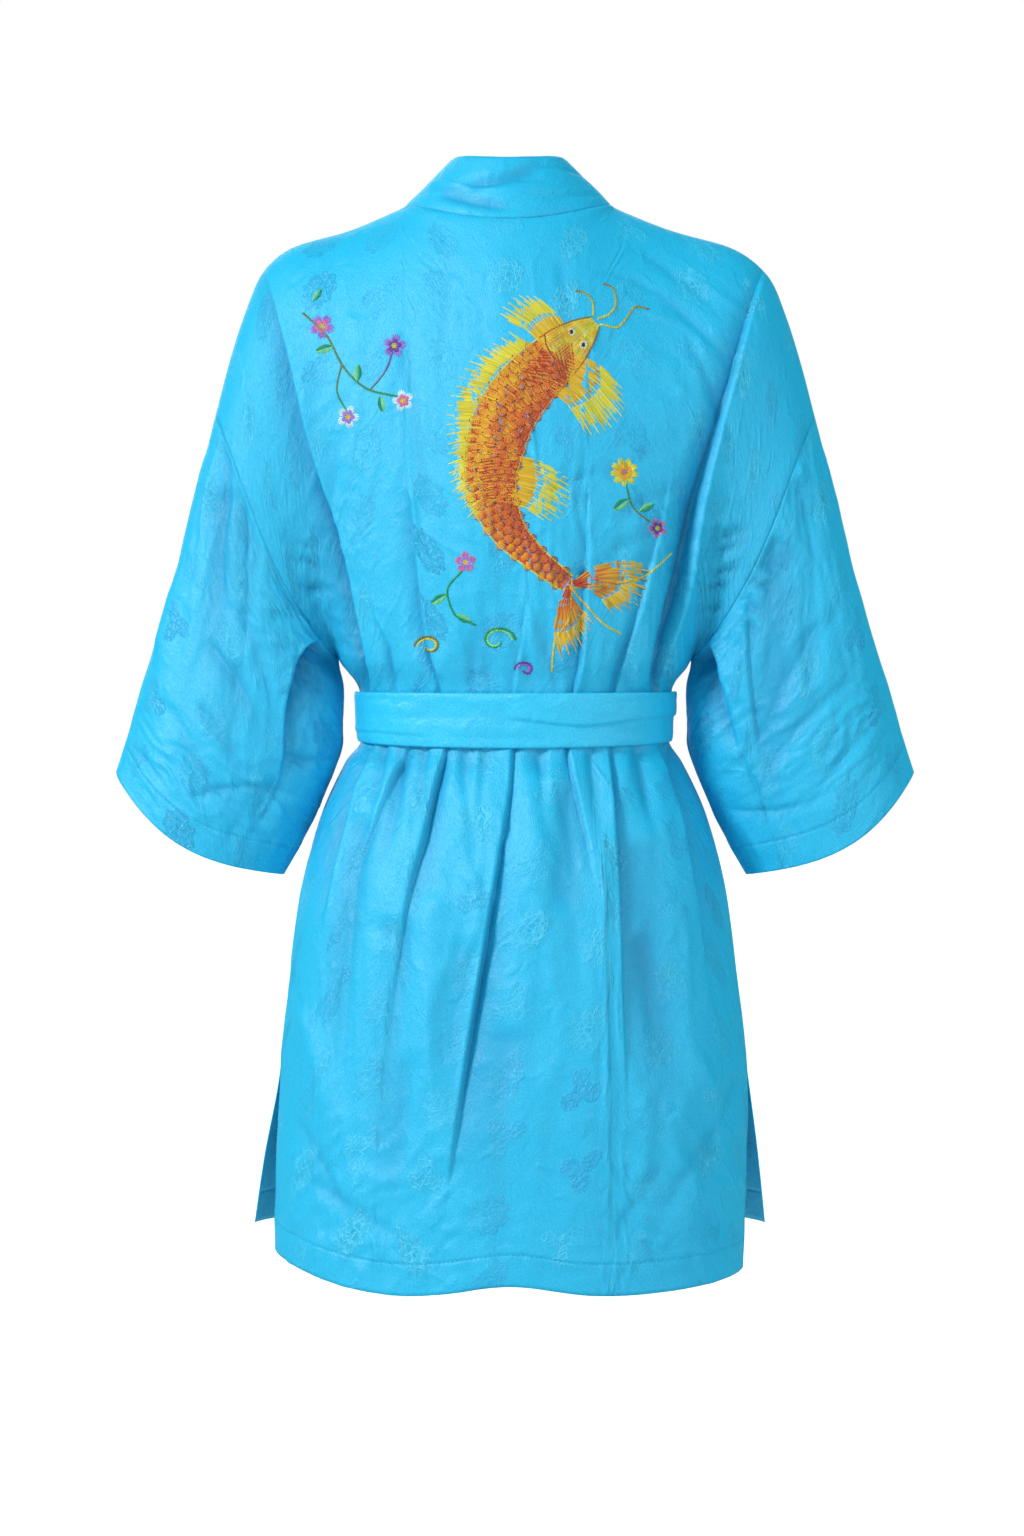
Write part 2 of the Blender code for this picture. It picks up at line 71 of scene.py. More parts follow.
def add_node(tree, kind, inputs=(), **settings):
    """A new shader node with its settings and inputs."""
    node = tree.nodes.new("ShaderNode" + kind)
    for key, value in settings.items():
        setattr(node, key, value)
    feed(node, inputs)
    return node


def new_material(name):
    """A new material, its node tree and its shader."""
    material = bpy.data.materials.new(name)
    material.use_nodes = True
    return material, material.node_tree, material.node_tree.nodes["Principled BSDF"]


bpy.ops.object.camera_add(location=CAMERA_AT, rotation=CAMERA_TURN)
camera = bpy.context.object
camera.data.sensor_fit = "VERTICAL"
camera.data.sensor_height = SENSOR
camera.data.lens = SENSOR * CAMERA_AT[1] / (PICTURE_HEIGHT * MM_IN_A_PIXEL / 1000)
bpy.context.scene.camera = camera
bpy.context.scene.view_settings.view_transform = "Standard"

bpy.ops.mesh.primitive_plane_add(size=60, location=(0, 0, -FLOOR_DROP))
floor = bpy.context.object
floor.name = "floor"
pale, pale_tree, pale_shader = new_material("pale floor")
feed(
    pale_shader,
    {
        "Base Color": (0.66, 0.66, 0.66, 1),
        "Roughness": 0.9,
        "Emission Color": (1, 1, 1, 1),
        "Emission Strength": add_node(pale_tree, "LightPath").outputs["Is Camera Ray"],
    },
)
floor.data.materials.append(pale)

surround = bpy.data.worlds.new("white surround")
surround.use_nodes = True
bpy.context.scene.world = surround
sky = surround.node_tree
sky_light = sky.nodes["Background"]
feed(sky_light, {"Color": (0.2, 0.93, 1, 1), "Strength": 0.56})
seen_white = add_node(sky, "Background", {"Color": (1, 1, 1, 1), "Strength": 1})
seen = add_node(sky, "LightPath").outputs["Is Camera Ray"]
seen_or_lit = add_node(sky, "MixShader", {"Fac": seen, 1: sky_light.outputs[0], 2: seen_white.outputs[0]})
feed(sky.nodes["World Output"], {"Surface": seen_or_lit.outputs[0]})

for box_name, place, size, watts in (
    ("key box", (2.9, 2.3, 1.3), 0.9, 112),
    ("fill box", (-2.3, 2.6, 0.1), 2.4, 30),
    ("top box", (0.1, 0.9, 1.6), 1.2, 2),
    ("front box", (0.4, -2.2, 0.5), 2.0, 24),
):
    aim = Vector(LIGHTS_AIM) - Vector(place)
    bpy.ops.object.light_add(type="AREA", location=place, rotation=aim.to_track_quat("-Z", "Y").to_euler())
    soft_box = bpy.context.object
    soft_box.name = box_name
    soft_box.data.size = size
    soft_box.data.energy = watts


# The back: one panel of figured silk, cut wide so that it drops over the shoulders to the armholes. The
# sash gathers it at the waist, and below that it hangs in folds to a turned and stitched hem with a slit
# at each side. The shape of the robe's body and of the sleeves' tops is the same for every panel.
MM = 0.001
# the neck opening, the rows at the underarm and the sash, the slits and the hems
NECK_HALF = 83
NECK_BACK = 72
NECK_DIP = 22
NECK_LEAN = 5
LEAN_FADE = 70
NECK_SHARE = 5 / 18
UNDERARM_DROP = 357
ROW_RISE = 50
ROW_RISE_FROM = 0.2
BELT_TOP = 386
BELT_BOTTOM = 424
BELT_SAG = 8
SAG_FADE = (440, 560)
SLIT_DROP = 692
SLIT_OPEN = 12
HEM_DROP = 845
HEM_NOTCH = 9
HEM_NOTCH_SHARE = 0.18
HEM_LIFT_FROM = 0.3
HEM_LIFT_LEFT = 18
HEM_LIFT_RIGHT = 4
FRONT_HEM_DROP = 809
FRONT_HEM_DIP = 14
# how far the cloth stands out between shoulder and sash, how it hangs, and how it is drawn to the sleeves
BACK_FULLNESS = 8
FRONT_FULLNESS = 16
FRONT_FULL_POWER = 1.3
FRONT_FULL_SHIFT = 0.15
BACK_HANG = 1.25
FRONT_HANG = 1.6
EDGE_HANG = 1.9
DRAWN_FROM = 0.35
DRAWN_POWER = 1.6
BAND_WIDTH = 50
BAND_RISE = 0.25
ROUNDNESS = 2.25
SILK_WALL = 0.7

# drop, half width, depth behind, depth in front, lean
SECTIONS = (
    (290, 150, 101, 112, 3), (357, 141, 96, 104, 0), (386, 124, 90, 95, 0), (424, 122.5, 88, 92, 0),
    (442, 134, 95, 98, 1), (486, 154, 108, 108, 1), (549, 170, 120, 117, 1), (613, 178, 127, 122, 1),
    (692, 186, 133, 126, 1), (760, 187, 137, 129, 3), (850, 187, 141, 132, 5),
)
HALF, BEHIND, BEFORE, LEAN = 1, 2, 3, 4

# share of the panel, out from the middle, drop
SHOULDER = (
    (NECK_SHARE, 83, 0),
    (0.42, 126, 18), (0.58, 177, 33), (0.70, 202, 54), (0.80, 216, 86), (0.90, 228, 124), (1.00, 239, 166),
)

# share of the sleeve, outer edge's x and drop, inner edge's x and drop, depth behind, in front, dip
RINGS = (
    (0.00, 239, 166, 142, 357, 52, 52, 0), (0.20, 254, 222, 135, 385, 55, 55, 2),
    (0.45, 275, 305, 136, 424, 56, 56, 6), (0.70, 297, 379, 157, 484, 54, 53, 12),
    (1.00, 319, 450, 183, 532, 50, 48, 20),
)
SEAM_BOW = 11
BOW_TURNS = (20, 120)
BOW_FADE = 0.5
CUFF_LENS = 1.3

# The pleats. Each has a crisp edge that runs down the panel, and a hollow beside it on the wearer's left or
# right: drop, the edge's x, the depth of the hollow on the left, on the right, the hollow's width
BACK_PLEATS = (
    (
        (40, 203, 0, 0, 12), (80, 189, 4, 0, 13), (196, 158, 11, 0, 14), (271, 135, 16, 0, 13),
        (333, 120.5, 17, 0, 11), (387, 113, 9, 0, 6), (424, 109.5, 4, 0, 5), (456, 122, 8, 0, 9),
        (487, 131.5, 8, 0, 12), (525, 141, 4, 0, 14), (590, 150, 0, 0, 16), (850, 158, 0, 0, 16),
    ),
    (
        (40, 138, 0, 0, 5), (219, 119, 0, 0, 5), (319, 110, 1, 0, 5), (357, 97, 3, 0, 5),
        (386, 92, 4, 0, 4), (427, 85, 0, 3, 4), (449, 95, 0, 7, 8), (483, 107, 0, 4, 8),
        (532, 126, 0, 1, 6), (850, 140, 0, 0, 6),
    ),
    (
        (40, 86, 0, 0, 12), (219, 82, 1, 0, 14), (257, 78, 3, 0, 13), (303, 74, 4, 0, 11),
        (342, 69, 5, 0, 9), (365, 63.5, 5, 0, 6), (386, 56.6, 5, 0, 4), (430, 55, 0, 5, 4),
        (449, 60, 0, 9, 7), (472, 66, 0, 9, 9), (502, 72, 0, 7, 12), (532, 80, 0, 5, 15),
        (586, 90, 0, 3, 18), (660, 99, 0, 0, 20), (850, 108, 0, 0, 20),
    ),
    (
        (40, -16, 0, 0, 6), (318, -9, 0, 0, 6), (350, -6, 2, 0, 6), (386, 0, 3, 0, 5), (432, 3, 0, 5, 4),
        (464, 5.5, 0, 6, 5), (502, 11.5, 0, 7, 7), (548, 19, 0, 9, 9), (593, 26.5, 0, 10, 12),
        (650, 36, 0, 8, 16), (720, 46, 0, 4, 22), (790, 54, 0, 0, 24), (850, 58, 0, 0, 24),
    ),
    (
        (40, -56, 0, 0, 12), (220, -57, 0, 0, 14), (273, -57, 3, 0, 13), (319, -55, 5, 0, 12),
        (365, -52, 6, 0, 9), (387, -47, 5, 0, 5), (432, -42, 7, 0, 3), (445, -44, 6, 0, 6),
        (472, -50, 4, 0, 10), (502, -57, 3, 0, 12), (540, -63, 0, 0, 14), (850, -66, 0, 0, 14),
    ),
    (
        (40, -138, 0, 0, 12), (200, -124, 0, 0, 12), (262, -114, 2, 0, 13), (303, -103, 4, 0, 12),
        (334, -95.6, 5, 0, 10), (365, -86.4, 5, 0, 8), (387, -79, 5, 0, 5), (430, -72, 0, 5, 4),
        (456, -74, 0, 7, 6), (495, -76.5, 0, 7, 9), (533, -79, 0, 6, 12), (578, -80, 0, 5, 16),
        (640, -82, 0, 3, 20), (720, -84, 0, 0, 22), (850, -86, 0, 0, 22),
    ),
    (
        (40, -203, 0, 0, 8), (90, -186, 5, 0, 11), (189, -158.5, 11, 0, 13), (242, -145.5, 15, 0, 14),
        (280, -139, 17, 0, 14), (311, -134, 18, 0, 12), (334, -128.5, 17, 0, 10), (357, -121, 12, 0, 8),
        (387, -114, 8, 0, 5), (430, -111, 0, 6, 4), (449, -119, 0, 9, 9), (487, -129.5, 0, 8, 13),
        (525, -137, 0, 5, 16), (563, -143, 0, 3, 18), (640, -150, 0, 0, 20), (850, -158, 0, 0, 20),
    ),
)
# the columns of the cloth that lie close to a pleat's edge, and how crisp the edge is
EDGE_NEAR = 3.5
EDGE_COLUMNS = 3
EDGE_STEP = (-0.5, 2.2)
EDGE_RIDGE = 0.28
EDGE_RIDGE_WIDE = 10
HOLLOW_POWER = 1.4
# where painted shade begins in a hollow, and the depth over which it grows
SHADE_FROM_DEPTH = 0.6
SHADE_FULL_DEPTH = 9

# The soft folds: x and drop at the start and end, bow, width, depth below 0 for a trough, pinch, lean
BACK_FOLDS = (
    (20, 388, 24, 300, 0, 8, -3, 1.3, 0), (27, 446, 42, 510, 2, 11, 3, 2, 0),
    (-22, 448, -14, 570, 2, 13, 5, 2, 0), (-38, 460, -44, 680, -2, 12, -4.5, 1.8, 0),
    (-98, 500, -112, 740, -2, 15, -3.6, 1.9, 0), (118, 480, 142, 700, 4, 12, -4.4, 1.8, 0),
    (62, 540, 66, 760, 2, 14, 4, 2, 0), (92, 560, 104, 780, 2, 13, -4, 2, 0),
    (2, 640, 8, 820, 2, 15, -3.5, 2, 0),
)
# The smaller creases, the same way
BACK_CREASES = (
    (-79, 389, -105, 317, -2.4, 8, -2.5, 1.6, 0.3), (-110, 389, -137, 293, -3.2, 9, -4, 1.7, 0.3),
    (-34, 389, -20, 322, -1.6, 7, -2.5, 1.7, 0), (-15, 389, -5, 349, 0, 6, -2.5, 1.6, 0),
    (92, 389, 100, 327, -1.6, 7, -2.5, 1.6, 0.2), (115, 388, 124, 333, -1.6, 6, -3, 1.5, 0),
    (34, 389, 30, 334, 0, 7, -2.5, 1.8, 0), (-95, 42, -173, 107, -4.8, 4, -1.6, 1.3, 0),
    (-112, 81, -178, 142, -4, 4, -1.6, 1.3, 0), (-63, 61, -141, 94, -3.2, 4, -1.3, 1.3, 0),
    (-134, 113, -173, 220, -4.8, 4, -1.6, 1.4, 0), (-18, 238, -97, 214, -3, 3, -1.5, 1.3, 0),
    (-65, 232, -137, 188, -4, 3, -1.7, 1.3, 0), (-22, 309, -106, 285, -3, 3, -1.6, 1.3, 0),
    (-74, 261, -144, 223, -4, 3, -1.8, 1.3, 0), (-65, 288, -126, 258, -3.2, 3, -1.7, 1.3, 0),
    (-56, 319, -112, 293, -3.2, 3, -1.6, 1.3, 0), (-150, 270, -192, 254, 2, 3, -2.4, 1.4, 0),
    (-147, 283, -188, 270, -2, 3, -2.8, 1.4, 0), (-145, 296, -182, 286, 2, 3, -3.2, 1.4, 0),
    (-143, 309, -175, 303, -2, 3, -3.2, 1.4, 0), (-139, 321, -168, 319, 2, 3, -3.0, 1.4, 0),
    (152, 276, 186, 262, -2, 3, -2.0, 1.4, 0), (148, 292, 180, 282, 2, 3, -2.4, 1.4, 0),
    (144, 308, 172, 302, -2, 3, -2.4, 1.4, 0), (85, 113, 66, 319, -4, 6, -1.6, 1.6, 0.2),
    (124, 90, 132, 181, -3.2, 7, 1.5, 1.8, 0), (164, 130, 141, 288, 6.4, 8, 2.4, 1.8, 0),
    (141, 189, 115, 349, 6.4, 6, -1.8, 1.5, 0), (-34, 52, -46, 220, -2.4, 7, -1.2, 1.7, 0),
    (11, 44, 14, 189, -1.6, 8, 1, 1.9, 0), (50, 52, 57, 181, 2.4, 8, -1, 1.8, 0),
    (101, 422, 117, 494, -2.4, 5, -3.5, 1.4, 0.3), (89, 424, 109, 533, -4.8, 6, -3, 1.5, -0.3),
    (69, 424, 82, 514, -2.4, 5, -3, 1.5, 0.2), (40, 426, 34, 501, 0, 6, -3, 1.6, 0),
    (22, 426, 27, 481, 0, 5, -2.5, 1.5, 0), (-18, 426, -26, 507, 0, 6, -3.5, 1.5, 0.3),
    (-57, 426, -66, 514, 0, 6, -3, 1.5, -0.2), (-94, 424, -107, 499, 0, 6, -3.5, 1.5, 0.2),
    (-123, 422, -133, 487, 2.4, 5, -3, 1.4, 0), (-176, 686, -135, 801, 4.8, 5, -1.8, 1.4, 0.2),
    (-158, 721, -101, 808, 4, 5, -1.6, 1.4, 0), (-142, 664, -167, 778, -3.2, 6, 1.8, 1.7, 0),
    (-112, 746, -68, 819, 3.2, 5, -1.4, 1.4, 0), (173, 714, 124, 801, -4.8, 6, -1.8, 1.4, 0.2),
    (164, 763, 69, 816, -4.8, 5, -1.5, 1.4, 0), (167, 632, 141, 746, -4.8, 9, 2.2, 1.8, 0),
    (-34, 548, -46, 708, -3.2, 13, 2.4, 2, 0), (34, 575, 48, 723, 4.8, 13, -2.6, 2, 0),
    (-95, 571, -117, 715, -4, 11, -2.2, 2, 0), (100, 571, 109, 708, 3.2, 12, 2.6, 2, 0),
    (78, 662, 91, 792, 3.2, 9, -2, 1.8, 0), (-4, 670, 2, 799, 0, 10, 2, 1.9, 0),
)
# Crumpled places: x, drop, reach across and down, angle, size across and along the creases, height
BACK_CRUMPLES = (
    (-125, 110, 60, 90, 60, 9, 40, 0.9), (-95, 250, 50, 80, 62, 8, 44, 0.8),
    (130, 190, 55, 110, -12, 11, 44, 0.9), (0, 250, 110, 150, 3, 9, 60, 1.0),
    (0, 340, 120, 50, 2, 7, 40, 0.9), (150, 300, 35, 60, 50, 7, 22, 1.2),
    (-150, 290, 35, 60, -70, 7, 22, 1.4), (-120, 760, 80, 80, 42, 14, 50, 1.4),
    (110, 770, 90, 70, -46, 14, 46, 1.4), (0, 640, 170, 190, 2, 22, 110, 1.4),
    (0, 500, 150, 70, 3, 12, 60, 0.8), (0, 815, 190, 30, 10, 8, 20, 0.9),
)
# where folds fade at their ends, and where the cloth is held still by a seam
FOLD_START = (-4, 14)
FOLD_END = (0.4, 1.1)
CALM_SIDE = (0.92, 0.995)
CALM_TOP = (0.02, 0.12)
PLEATS_CALM = (0.93, 1)
RANDOM_GRID = 64
EASING_STEPS = 90
HALVINGS = 26


def rise(low, high, at):
    """0 up to low, 1 from high, and a smooth rise between them."""
    share = np.clip((at - low) / (high - low), 0, 1)
    return share * share * (3 - 2 * share)


def mix(first, second, share):
    return first + (second - first) * share


def read(rows, column, at):
    """A column's value where a table's first column reaches `at`, on a smooth curve through its rows."""
    keys = np.array([row[0] for row in rows], float)
    values = np.array([row[column] for row in rows], float)
    slopes = np.diff(values) / np.diff(keys)
    tangents = np.concatenate([slopes[:1], np.zeros(len(keys) - 2), slopes[-1:]])
    same_way = slopes[:-1] * slopes[1:] > 0
    total = np.where(same_way, slopes[:-1] + slopes[1:], 1)
    tangents[1:-1] = np.where(same_way, 2 * slopes[:-1] * slopes[1:] / total, 0)
    at = np.clip(at, keys[0], keys[-1])
    i = np.clip(np.searchsorted(keys, at, side="right") - 1, 0, len(keys) - 2)
    span = keys[i + 1] - keys[i]
    t = (at - keys[i]) / span
    between = mix(values[i], values[i + 1], 3 * t**2 - 2 * t**3)
    bend = (t**3 - 2 * t**2 + t) * tangents[i] + (t**3 - t**2) * tangents[i + 1]
    return between + bend * span


def points_of(x, y, z):
    return np.stack(np.broadcast_arrays(x, y, z), -1).astype(float)


def body_point(side, turn, drop, face):
    """A point on the robe's body. Turn runs from 0 at the side seam to 90 degrees at the middle."""
    angle = np.radians(turn)
    sag = BELT_SAG * np.sin(angle) * (1 - rise(*SAG_FADE, drop))
    level = drop - sag if face == "back" else drop
    half = read(SECTIONS, HALF, level) if face == "back" else read(FRONT_SECTIONS, HALF, level)
    deep = read(SECTIONS, BEHIND if face == "back" else BEFORE, level)
    angle = np.arctan2(deep * np.sin(angle), half * np.cos(angle))
    shape = (np.abs(np.cos(angle)) / half) ** ROUNDNESS + (np.abs(np.sin(angle)) / deep) ** ROUNDNESS
    reach = shape ** (-1 / ROUNDNESS)
    x = side * reach * np.cos(angle) + read(SECTIONS, LEAN, drop)
    return points_of(x, (1 if face == "back" else -1) * reach * np.sin(angle), -drop)


FRONT_WIDER = {692: 187, 760: 198, 850: 209}
FRONT_SECTIONS = tuple((row[0], FRONT_WIDER.get(row[0], row[1])) for row in SECTIONS)


def sleeve_point(side, turn, share, behind):
    """A point on a sleeve. Turn runs from 0 along its outer edge to 180 degrees at the underarm."""
    angle = np.radians(turn)
    out_x, out_drop, in_x, in_drop = (read(RINGS, column, share) for column in (1, 2, 3, 4))
    halfway = (1 - np.cos(angle)) / 2
    across_x, across_z = in_x - out_x, out_drop - in_drop
    length = np.hypot(across_x, across_z)
    bow = SEAM_BOW * (1 - rise(0, BOW_FADE, share)) * np.sin(angle) * rise(*BOW_TURNS, turn)
    push = read(RINGS, 7, share) * np.sin(math.pi * halfway) + bow
    x = mix(out_x, in_x, halfway) - push * across_z / length
    z = mix(-out_drop, -in_drop, halfway) + push * across_x / length
    deep = np.where(behind, read(RINGS, 5, share), -read(RINGS, 6, share))
    y = deep * np.maximum(np.sin(angle), 0) ** mix(1, CUFF_LENS, share)
    return points_of(side * x, y, z)


def top_point(share, face):
    """The panel's top edge: round the neck behind, then along the shoulder to the armhole."""
    x, z = read(SHOULDER, 1, share), -read(SHOULDER, 2, share)
    y = np.zeros_like(x)
    if face == "back":
        angle = np.radians(90 * np.minimum(share / NECK_SHARE, 1))
        round_neck = share <= NECK_SHARE
        x = np.where(round_neck, NECK_HALF * np.sin(angle), x)
        y = np.where(round_neck, NECK_BACK * np.cos(angle), y)
        z = np.where(round_neck, -NECK_DIP * np.cos(angle) ** 2, z)
    return points_of(x, y, z)


def lean_at(drop):
    """The robe hangs a little to the wearer's left at the neck."""
    return NECK_LEAN * (1 - rise(0, LEAN_FADE, drop))


def turn_at(side, x, drop, face):
    """The turn at which the body's section reaches x."""
    low, high = np.zeros_like(x), np.full_like(x, 150.0)
    for _ in range(HALVINGS):
        middle = (low + high) / 2
        outside = side * body_point(side, middle, drop, face)[..., 0] > side * x
        low, high = np.where(outside, middle, low), np.where(outside, high, middle)
    return low


def hem_drop(side, share, face):
    """Behind, the hem lifts a little in its middle and towards the slits."""
    if face == "front":
        return FRONT_HEM_DROP + FRONT_HEM_DIP * (1 - share)
    notch = HEM_NOTCH * np.exp(-((share / HEM_NOTCH_SHARE) ** 2))
    lift = np.where(side > 0, HEM_LIFT_LEFT, HEM_LIFT_RIGHT)
    return HEM_DROP - notch - lift * rise(HEM_LIFT_FROM, 1, share)


def upper_point(side, share, v, face, turn_low, fall, extend):
    """A point above the underarm. Near the armhole the panel is drawn out to the sleeve's first ring."""
    if face == "back":
        top = top_point(share, face)
        hang = BACK_HANG
        outward = BACK_FULLNESS * np.sin(math.pi * v) * np.sqrt(np.maximum(1 - share, 0))
    else:
        top = top_point(mix(NECK_SHARE, 1, share), face)
        top = top + np.array([-1, 0, BAND_RISE]) / math.hypot(1, BAND_RISE) * np.expand_dims(extend, -1)
        hang = FRONT_HANG
        full_share = np.minimum(share + FRONT_FULL_SHIFT, 1)
        outward = -FRONT_FULLNESS * np.sin(math.pi * v**FRONT_FULL_POWER) * np.sin(math.pi * full_share)
    top = points_of(side * top[..., 0] + lean_at(-top[..., 2]), top[..., 1], top[..., 2])
    bottom = body_point(side, mix(turn_low, 0, share), fall, face)
    down = v ** mix(hang, EDGE_HANG, rise(0, NECK_SHARE * 1.3, share))
    point = mix(top, bottom, down[..., None])
    point[..., 1] = mix(top[..., 1], bottom[..., 1], 1 - (1 - v) ** 2) + outward
    end = top_point(np.ones_like(share), face)
    end = points_of(side * end[..., 0] + lean_at(-end[..., 2]), 0, end[..., 2])
    underarm = body_point(side, np.zeros_like(share), UNDERARM_DROP + 0 * share, face)
    plain_edge = mix(end, underarm, (v**EDGE_HANG)[..., None])
    drawn = np.maximum((share - DRAWN_FROM) / (1 - DRAWN_FROM), 0) ** DRAWN_POWER
    return point + (sleeve_point(side, 180 * v, 0 * v, face == "back") - plain_edge) * drawn[..., None]


def panel_point(side, share, v, face, extend=0.0):
    """A point on a body panel. V is 0 at its top, 1 at the underarm, 2 and 3 by the sash, 4 at the hem."""
    underarm_row = UNDERARM_DROP - ROW_RISE * (1 - rise(ROW_RISE_FROM, 1, share))
    sag = BELT_SAG * np.cos(np.radians(90 * share)) if face == "back" else 0
    belt_bottom = BELT_BOTTOM + sag
    fall = np.select(
        [v <= 1, v <= 2, v <= 3],
        [underarm_row, mix(underarm_row, BELT_TOP, v - 1), mix(BELT_TOP, belt_bottom, v - 2)],
        mix(belt_bottom, hem_drop(side, share, face), v - 3),
    )
    if face == "back":
        turn_low = 90
        turn_side = SLIT_OPEN * rise(SLIT_DROP, HEM_DROP, fall)
    else:
        seam = read(OPENINGS, 1, fall) - extend
        turn_low = turn_at(side, side * seam + read(SECTIONS, LEAN, fall), fall, face)
        turn_side = 0
    upper = upper_point(side, share, np.clip(v, 0, 1), face, turn_low, fall, extend + 0 * v)
    lower = body_point(side, mix(turn_low, turn_side, share), fall, face)
    return np.where((v <= 1)[..., None], upper, lower)


def fold_push(rows, x, drop):
    """How far folds push the cloth outward. Each is drawn on the view of the robe from behind."""
    push = np.zeros_like(x)
    for start_x, start_drop, end_x, end_drop, bow, width, depth, pinch, lean in rows:
        along_x, along_drop = end_x - start_x, end_drop - start_drop
        length = math.hypot(along_x, along_drop)
        along = ((x - start_x) * along_x + (drop - start_drop) * along_drop) / length
        off = ((x - start_x) * along_drop - (drop - start_drop) * along_x) / length
        off -= bow * np.sin(math.pi * np.clip(along / length, 0, 1))
        reach = width * (1 + lean * np.sign(off))
        fade = rise(*FOLD_START, along) * (1 - rise(*FOLD_END, along / length))
        push += depth * np.exp(-((np.abs(off) / reach) ** pinch)) * fade
    return push


def pleat_push(pleats, x, drop):
    """How far pleats push the cloth outward: up to a crisp edge, and down into a hollow beside it."""
    push = np.zeros_like(x)
    for rows in pleats:
        hollow = read(rows, 4, drop)
        for way, column in ((1, 2), (-1, 3)):
            depth = read(rows, column, drop)
            off = (x - read(rows, 1, drop)) * way
            step = rise(*EDGE_STEP, off)
            push -= depth * step * np.exp(-((np.maximum(off, 0) / hollow) ** HOLLOW_POWER))
            push += EDGE_RIDGE * depth * (1 - step) * np.exp(-np.maximum(-off, 0) / EDGE_RIDGE_WIDE)
    return push


def hollow_shade_of(push):
    """A mask for painted shade: 0 on the open cloth, towards 1 in the deepest hollows of the pleats and
    folds.
    """
    return 1 - np.exp(-np.maximum(-push - SHADE_FROM_DEPTH, 0) / SHADE_FULL_DEPTH)


def along_edges(points, pleats, columns):
    """The same surface on columns that run along the pleats' edges and lie close together there.

    Also gives where each new column lies, counted in the old ones.
    """
    rows, old = points.shape[:2]
    index = np.arange(old)
    x, drop = points[..., 0], -points[..., 2]
    knots = [np.zeros(rows)]
    for pleat in pleats:
        gap = x - read(pleat, 1, drop)
        for step in (EDGE_NEAR, 0, -EDGE_NEAR):
            knots.append(np.array([np.interp(0, row[::-1] - step, index[::-1]) for row in gap]))
    knots = np.stack([*knots, np.full(rows, old - 1.0)], 1)
    widths = np.diff(knots, axis=1).mean(0)
    close = np.arange(len(widths)) % 3 != 0
    free = columns - 1 - EDGE_COLUMNS * close.sum()
    free_to_here = np.cumsum(np.where(close, 0, widths)) / widths[~close].sum() * free
    ends = np.round(free_to_here) + EDGE_COLUMNS * np.cumsum(close)
    at = np.stack([np.interp(np.arange(columns), [0, *ends], row) for row in knots])
    i = np.clip(np.floor(at).astype(int), 0, old - 2)
    t = (at - i)[..., None]
    row = np.arange(rows)[:, None]
    slopes = np.gradient(points, axis=1)
    here, ahead, slope, slope_ahead = points[row, i], points[row, i + 1], slopes[row, i], slopes[row, i + 1]
    new = mix(here, ahead, 3 * t**2 - 2 * t**3)
    new = new + (t**3 - 2 * t**2 + t) * slope + (t**3 - t**2) * slope_ahead
    return new, at


def uneven(x, y, seed):
    """Smooth random heights between -1 and 1, one to each whole step of x and y."""
    heights = np.random.default_rng(seed).uniform(-1, 1, (RANDOM_GRID, RANDOM_GRID))
    ix, iy = np.floor(x).astype(int), np.floor(y).astype(int)
    tx, ty = x - ix, y - iy
    tx, ty = tx * tx * (3 - 2 * tx), ty * ty * (3 - 2 * ty)

    def height(i, j):
        return heights[i % RANDOM_GRID, j % RANDOM_GRID]

    near = mix(height(ix, iy), height(ix + 1, iy), tx)
    far = mix(height(ix, iy + 1), height(ix + 1, iy + 1), tx)
    return mix(near, far, ty)


def crumple_push(rows, x, drop):
    """Small sharp ridges with soft hollows between them, in each crumpled place."""
    push = np.zeros_like(x)
    for seed, (at_x, at_drop, reach_x, reach_drop, angle, across, along, height) in enumerate(rows):
        dx, dd = x - at_x, drop - at_drop
        c, s = math.cos(math.radians(angle)), math.sin(math.radians(angle))
        p, q = (dx * c + dd * s) / across, (dd * c - dx * s) / along
        p = p + 0.6 * uneven(p * 0.5, q * 1.3, seed + 50)
        ridges = (1 - np.abs(uneven(p, q, seed + 10))) ** 3
        ridges = ridges + 0.5 * (1 - np.abs(uneven(2 * p, 2 * q, seed + 30))) ** 3
        push += height * (2 * ridges - 1) * np.exp(-((dx / reach_x) ** 2) - (dd / reach_drop) ** 2)
    return push


def outward_of(points, way):
    """The cloth's outward direction at each point of a grid whose rows run down and columns across."""
    normal = np.cross(np.gradient(points, axis=0), np.gradient(points, axis=1)) * way
    return normal / np.maximum(np.linalg.norm(normal, axis=-1, keepdims=True), 1e-9)


def eased(points, weight):
    """The grid with the sharp bends across it smoothed out where the weight is 1."""
    for _ in range(EASING_STEPS):
        middle = (points[:, :-2] + points[:, 2:]) / 2
        points[:, 1:-1] += (middle - points[:, 1:-1]) * 0.5 * weight[:, 1:-1, None]
    return points


def to_last_row(points):
    """How far each point of a grid is from its last row, along the cloth."""
    lengths = np.linalg.norm(np.diff(points, axis=0), axis=2)
    return np.concatenate([np.cumsum(lengths[::-1], 0)[::-1], np.zeros((1, points.shape[1]))], 0)

def even_rows(*stretches):
    """Values from the top edge on, with so many even steps from each whole value to the next."""
    values = [0.0]
    for start, count in enumerate(stretches):
        values += [start + (i + 1) / count for i in range(count)]
    return np.array(values)


def placed(name, mesh, material):
    """A smooth object of the mesh, in the scene."""
    mesh.materials.append(material)
    mesh.shade_smooth()
    piece = bpy.data.objects.new(name, mesh)
    bpy.context.scene.collection.objects.link(piece)
    return piece


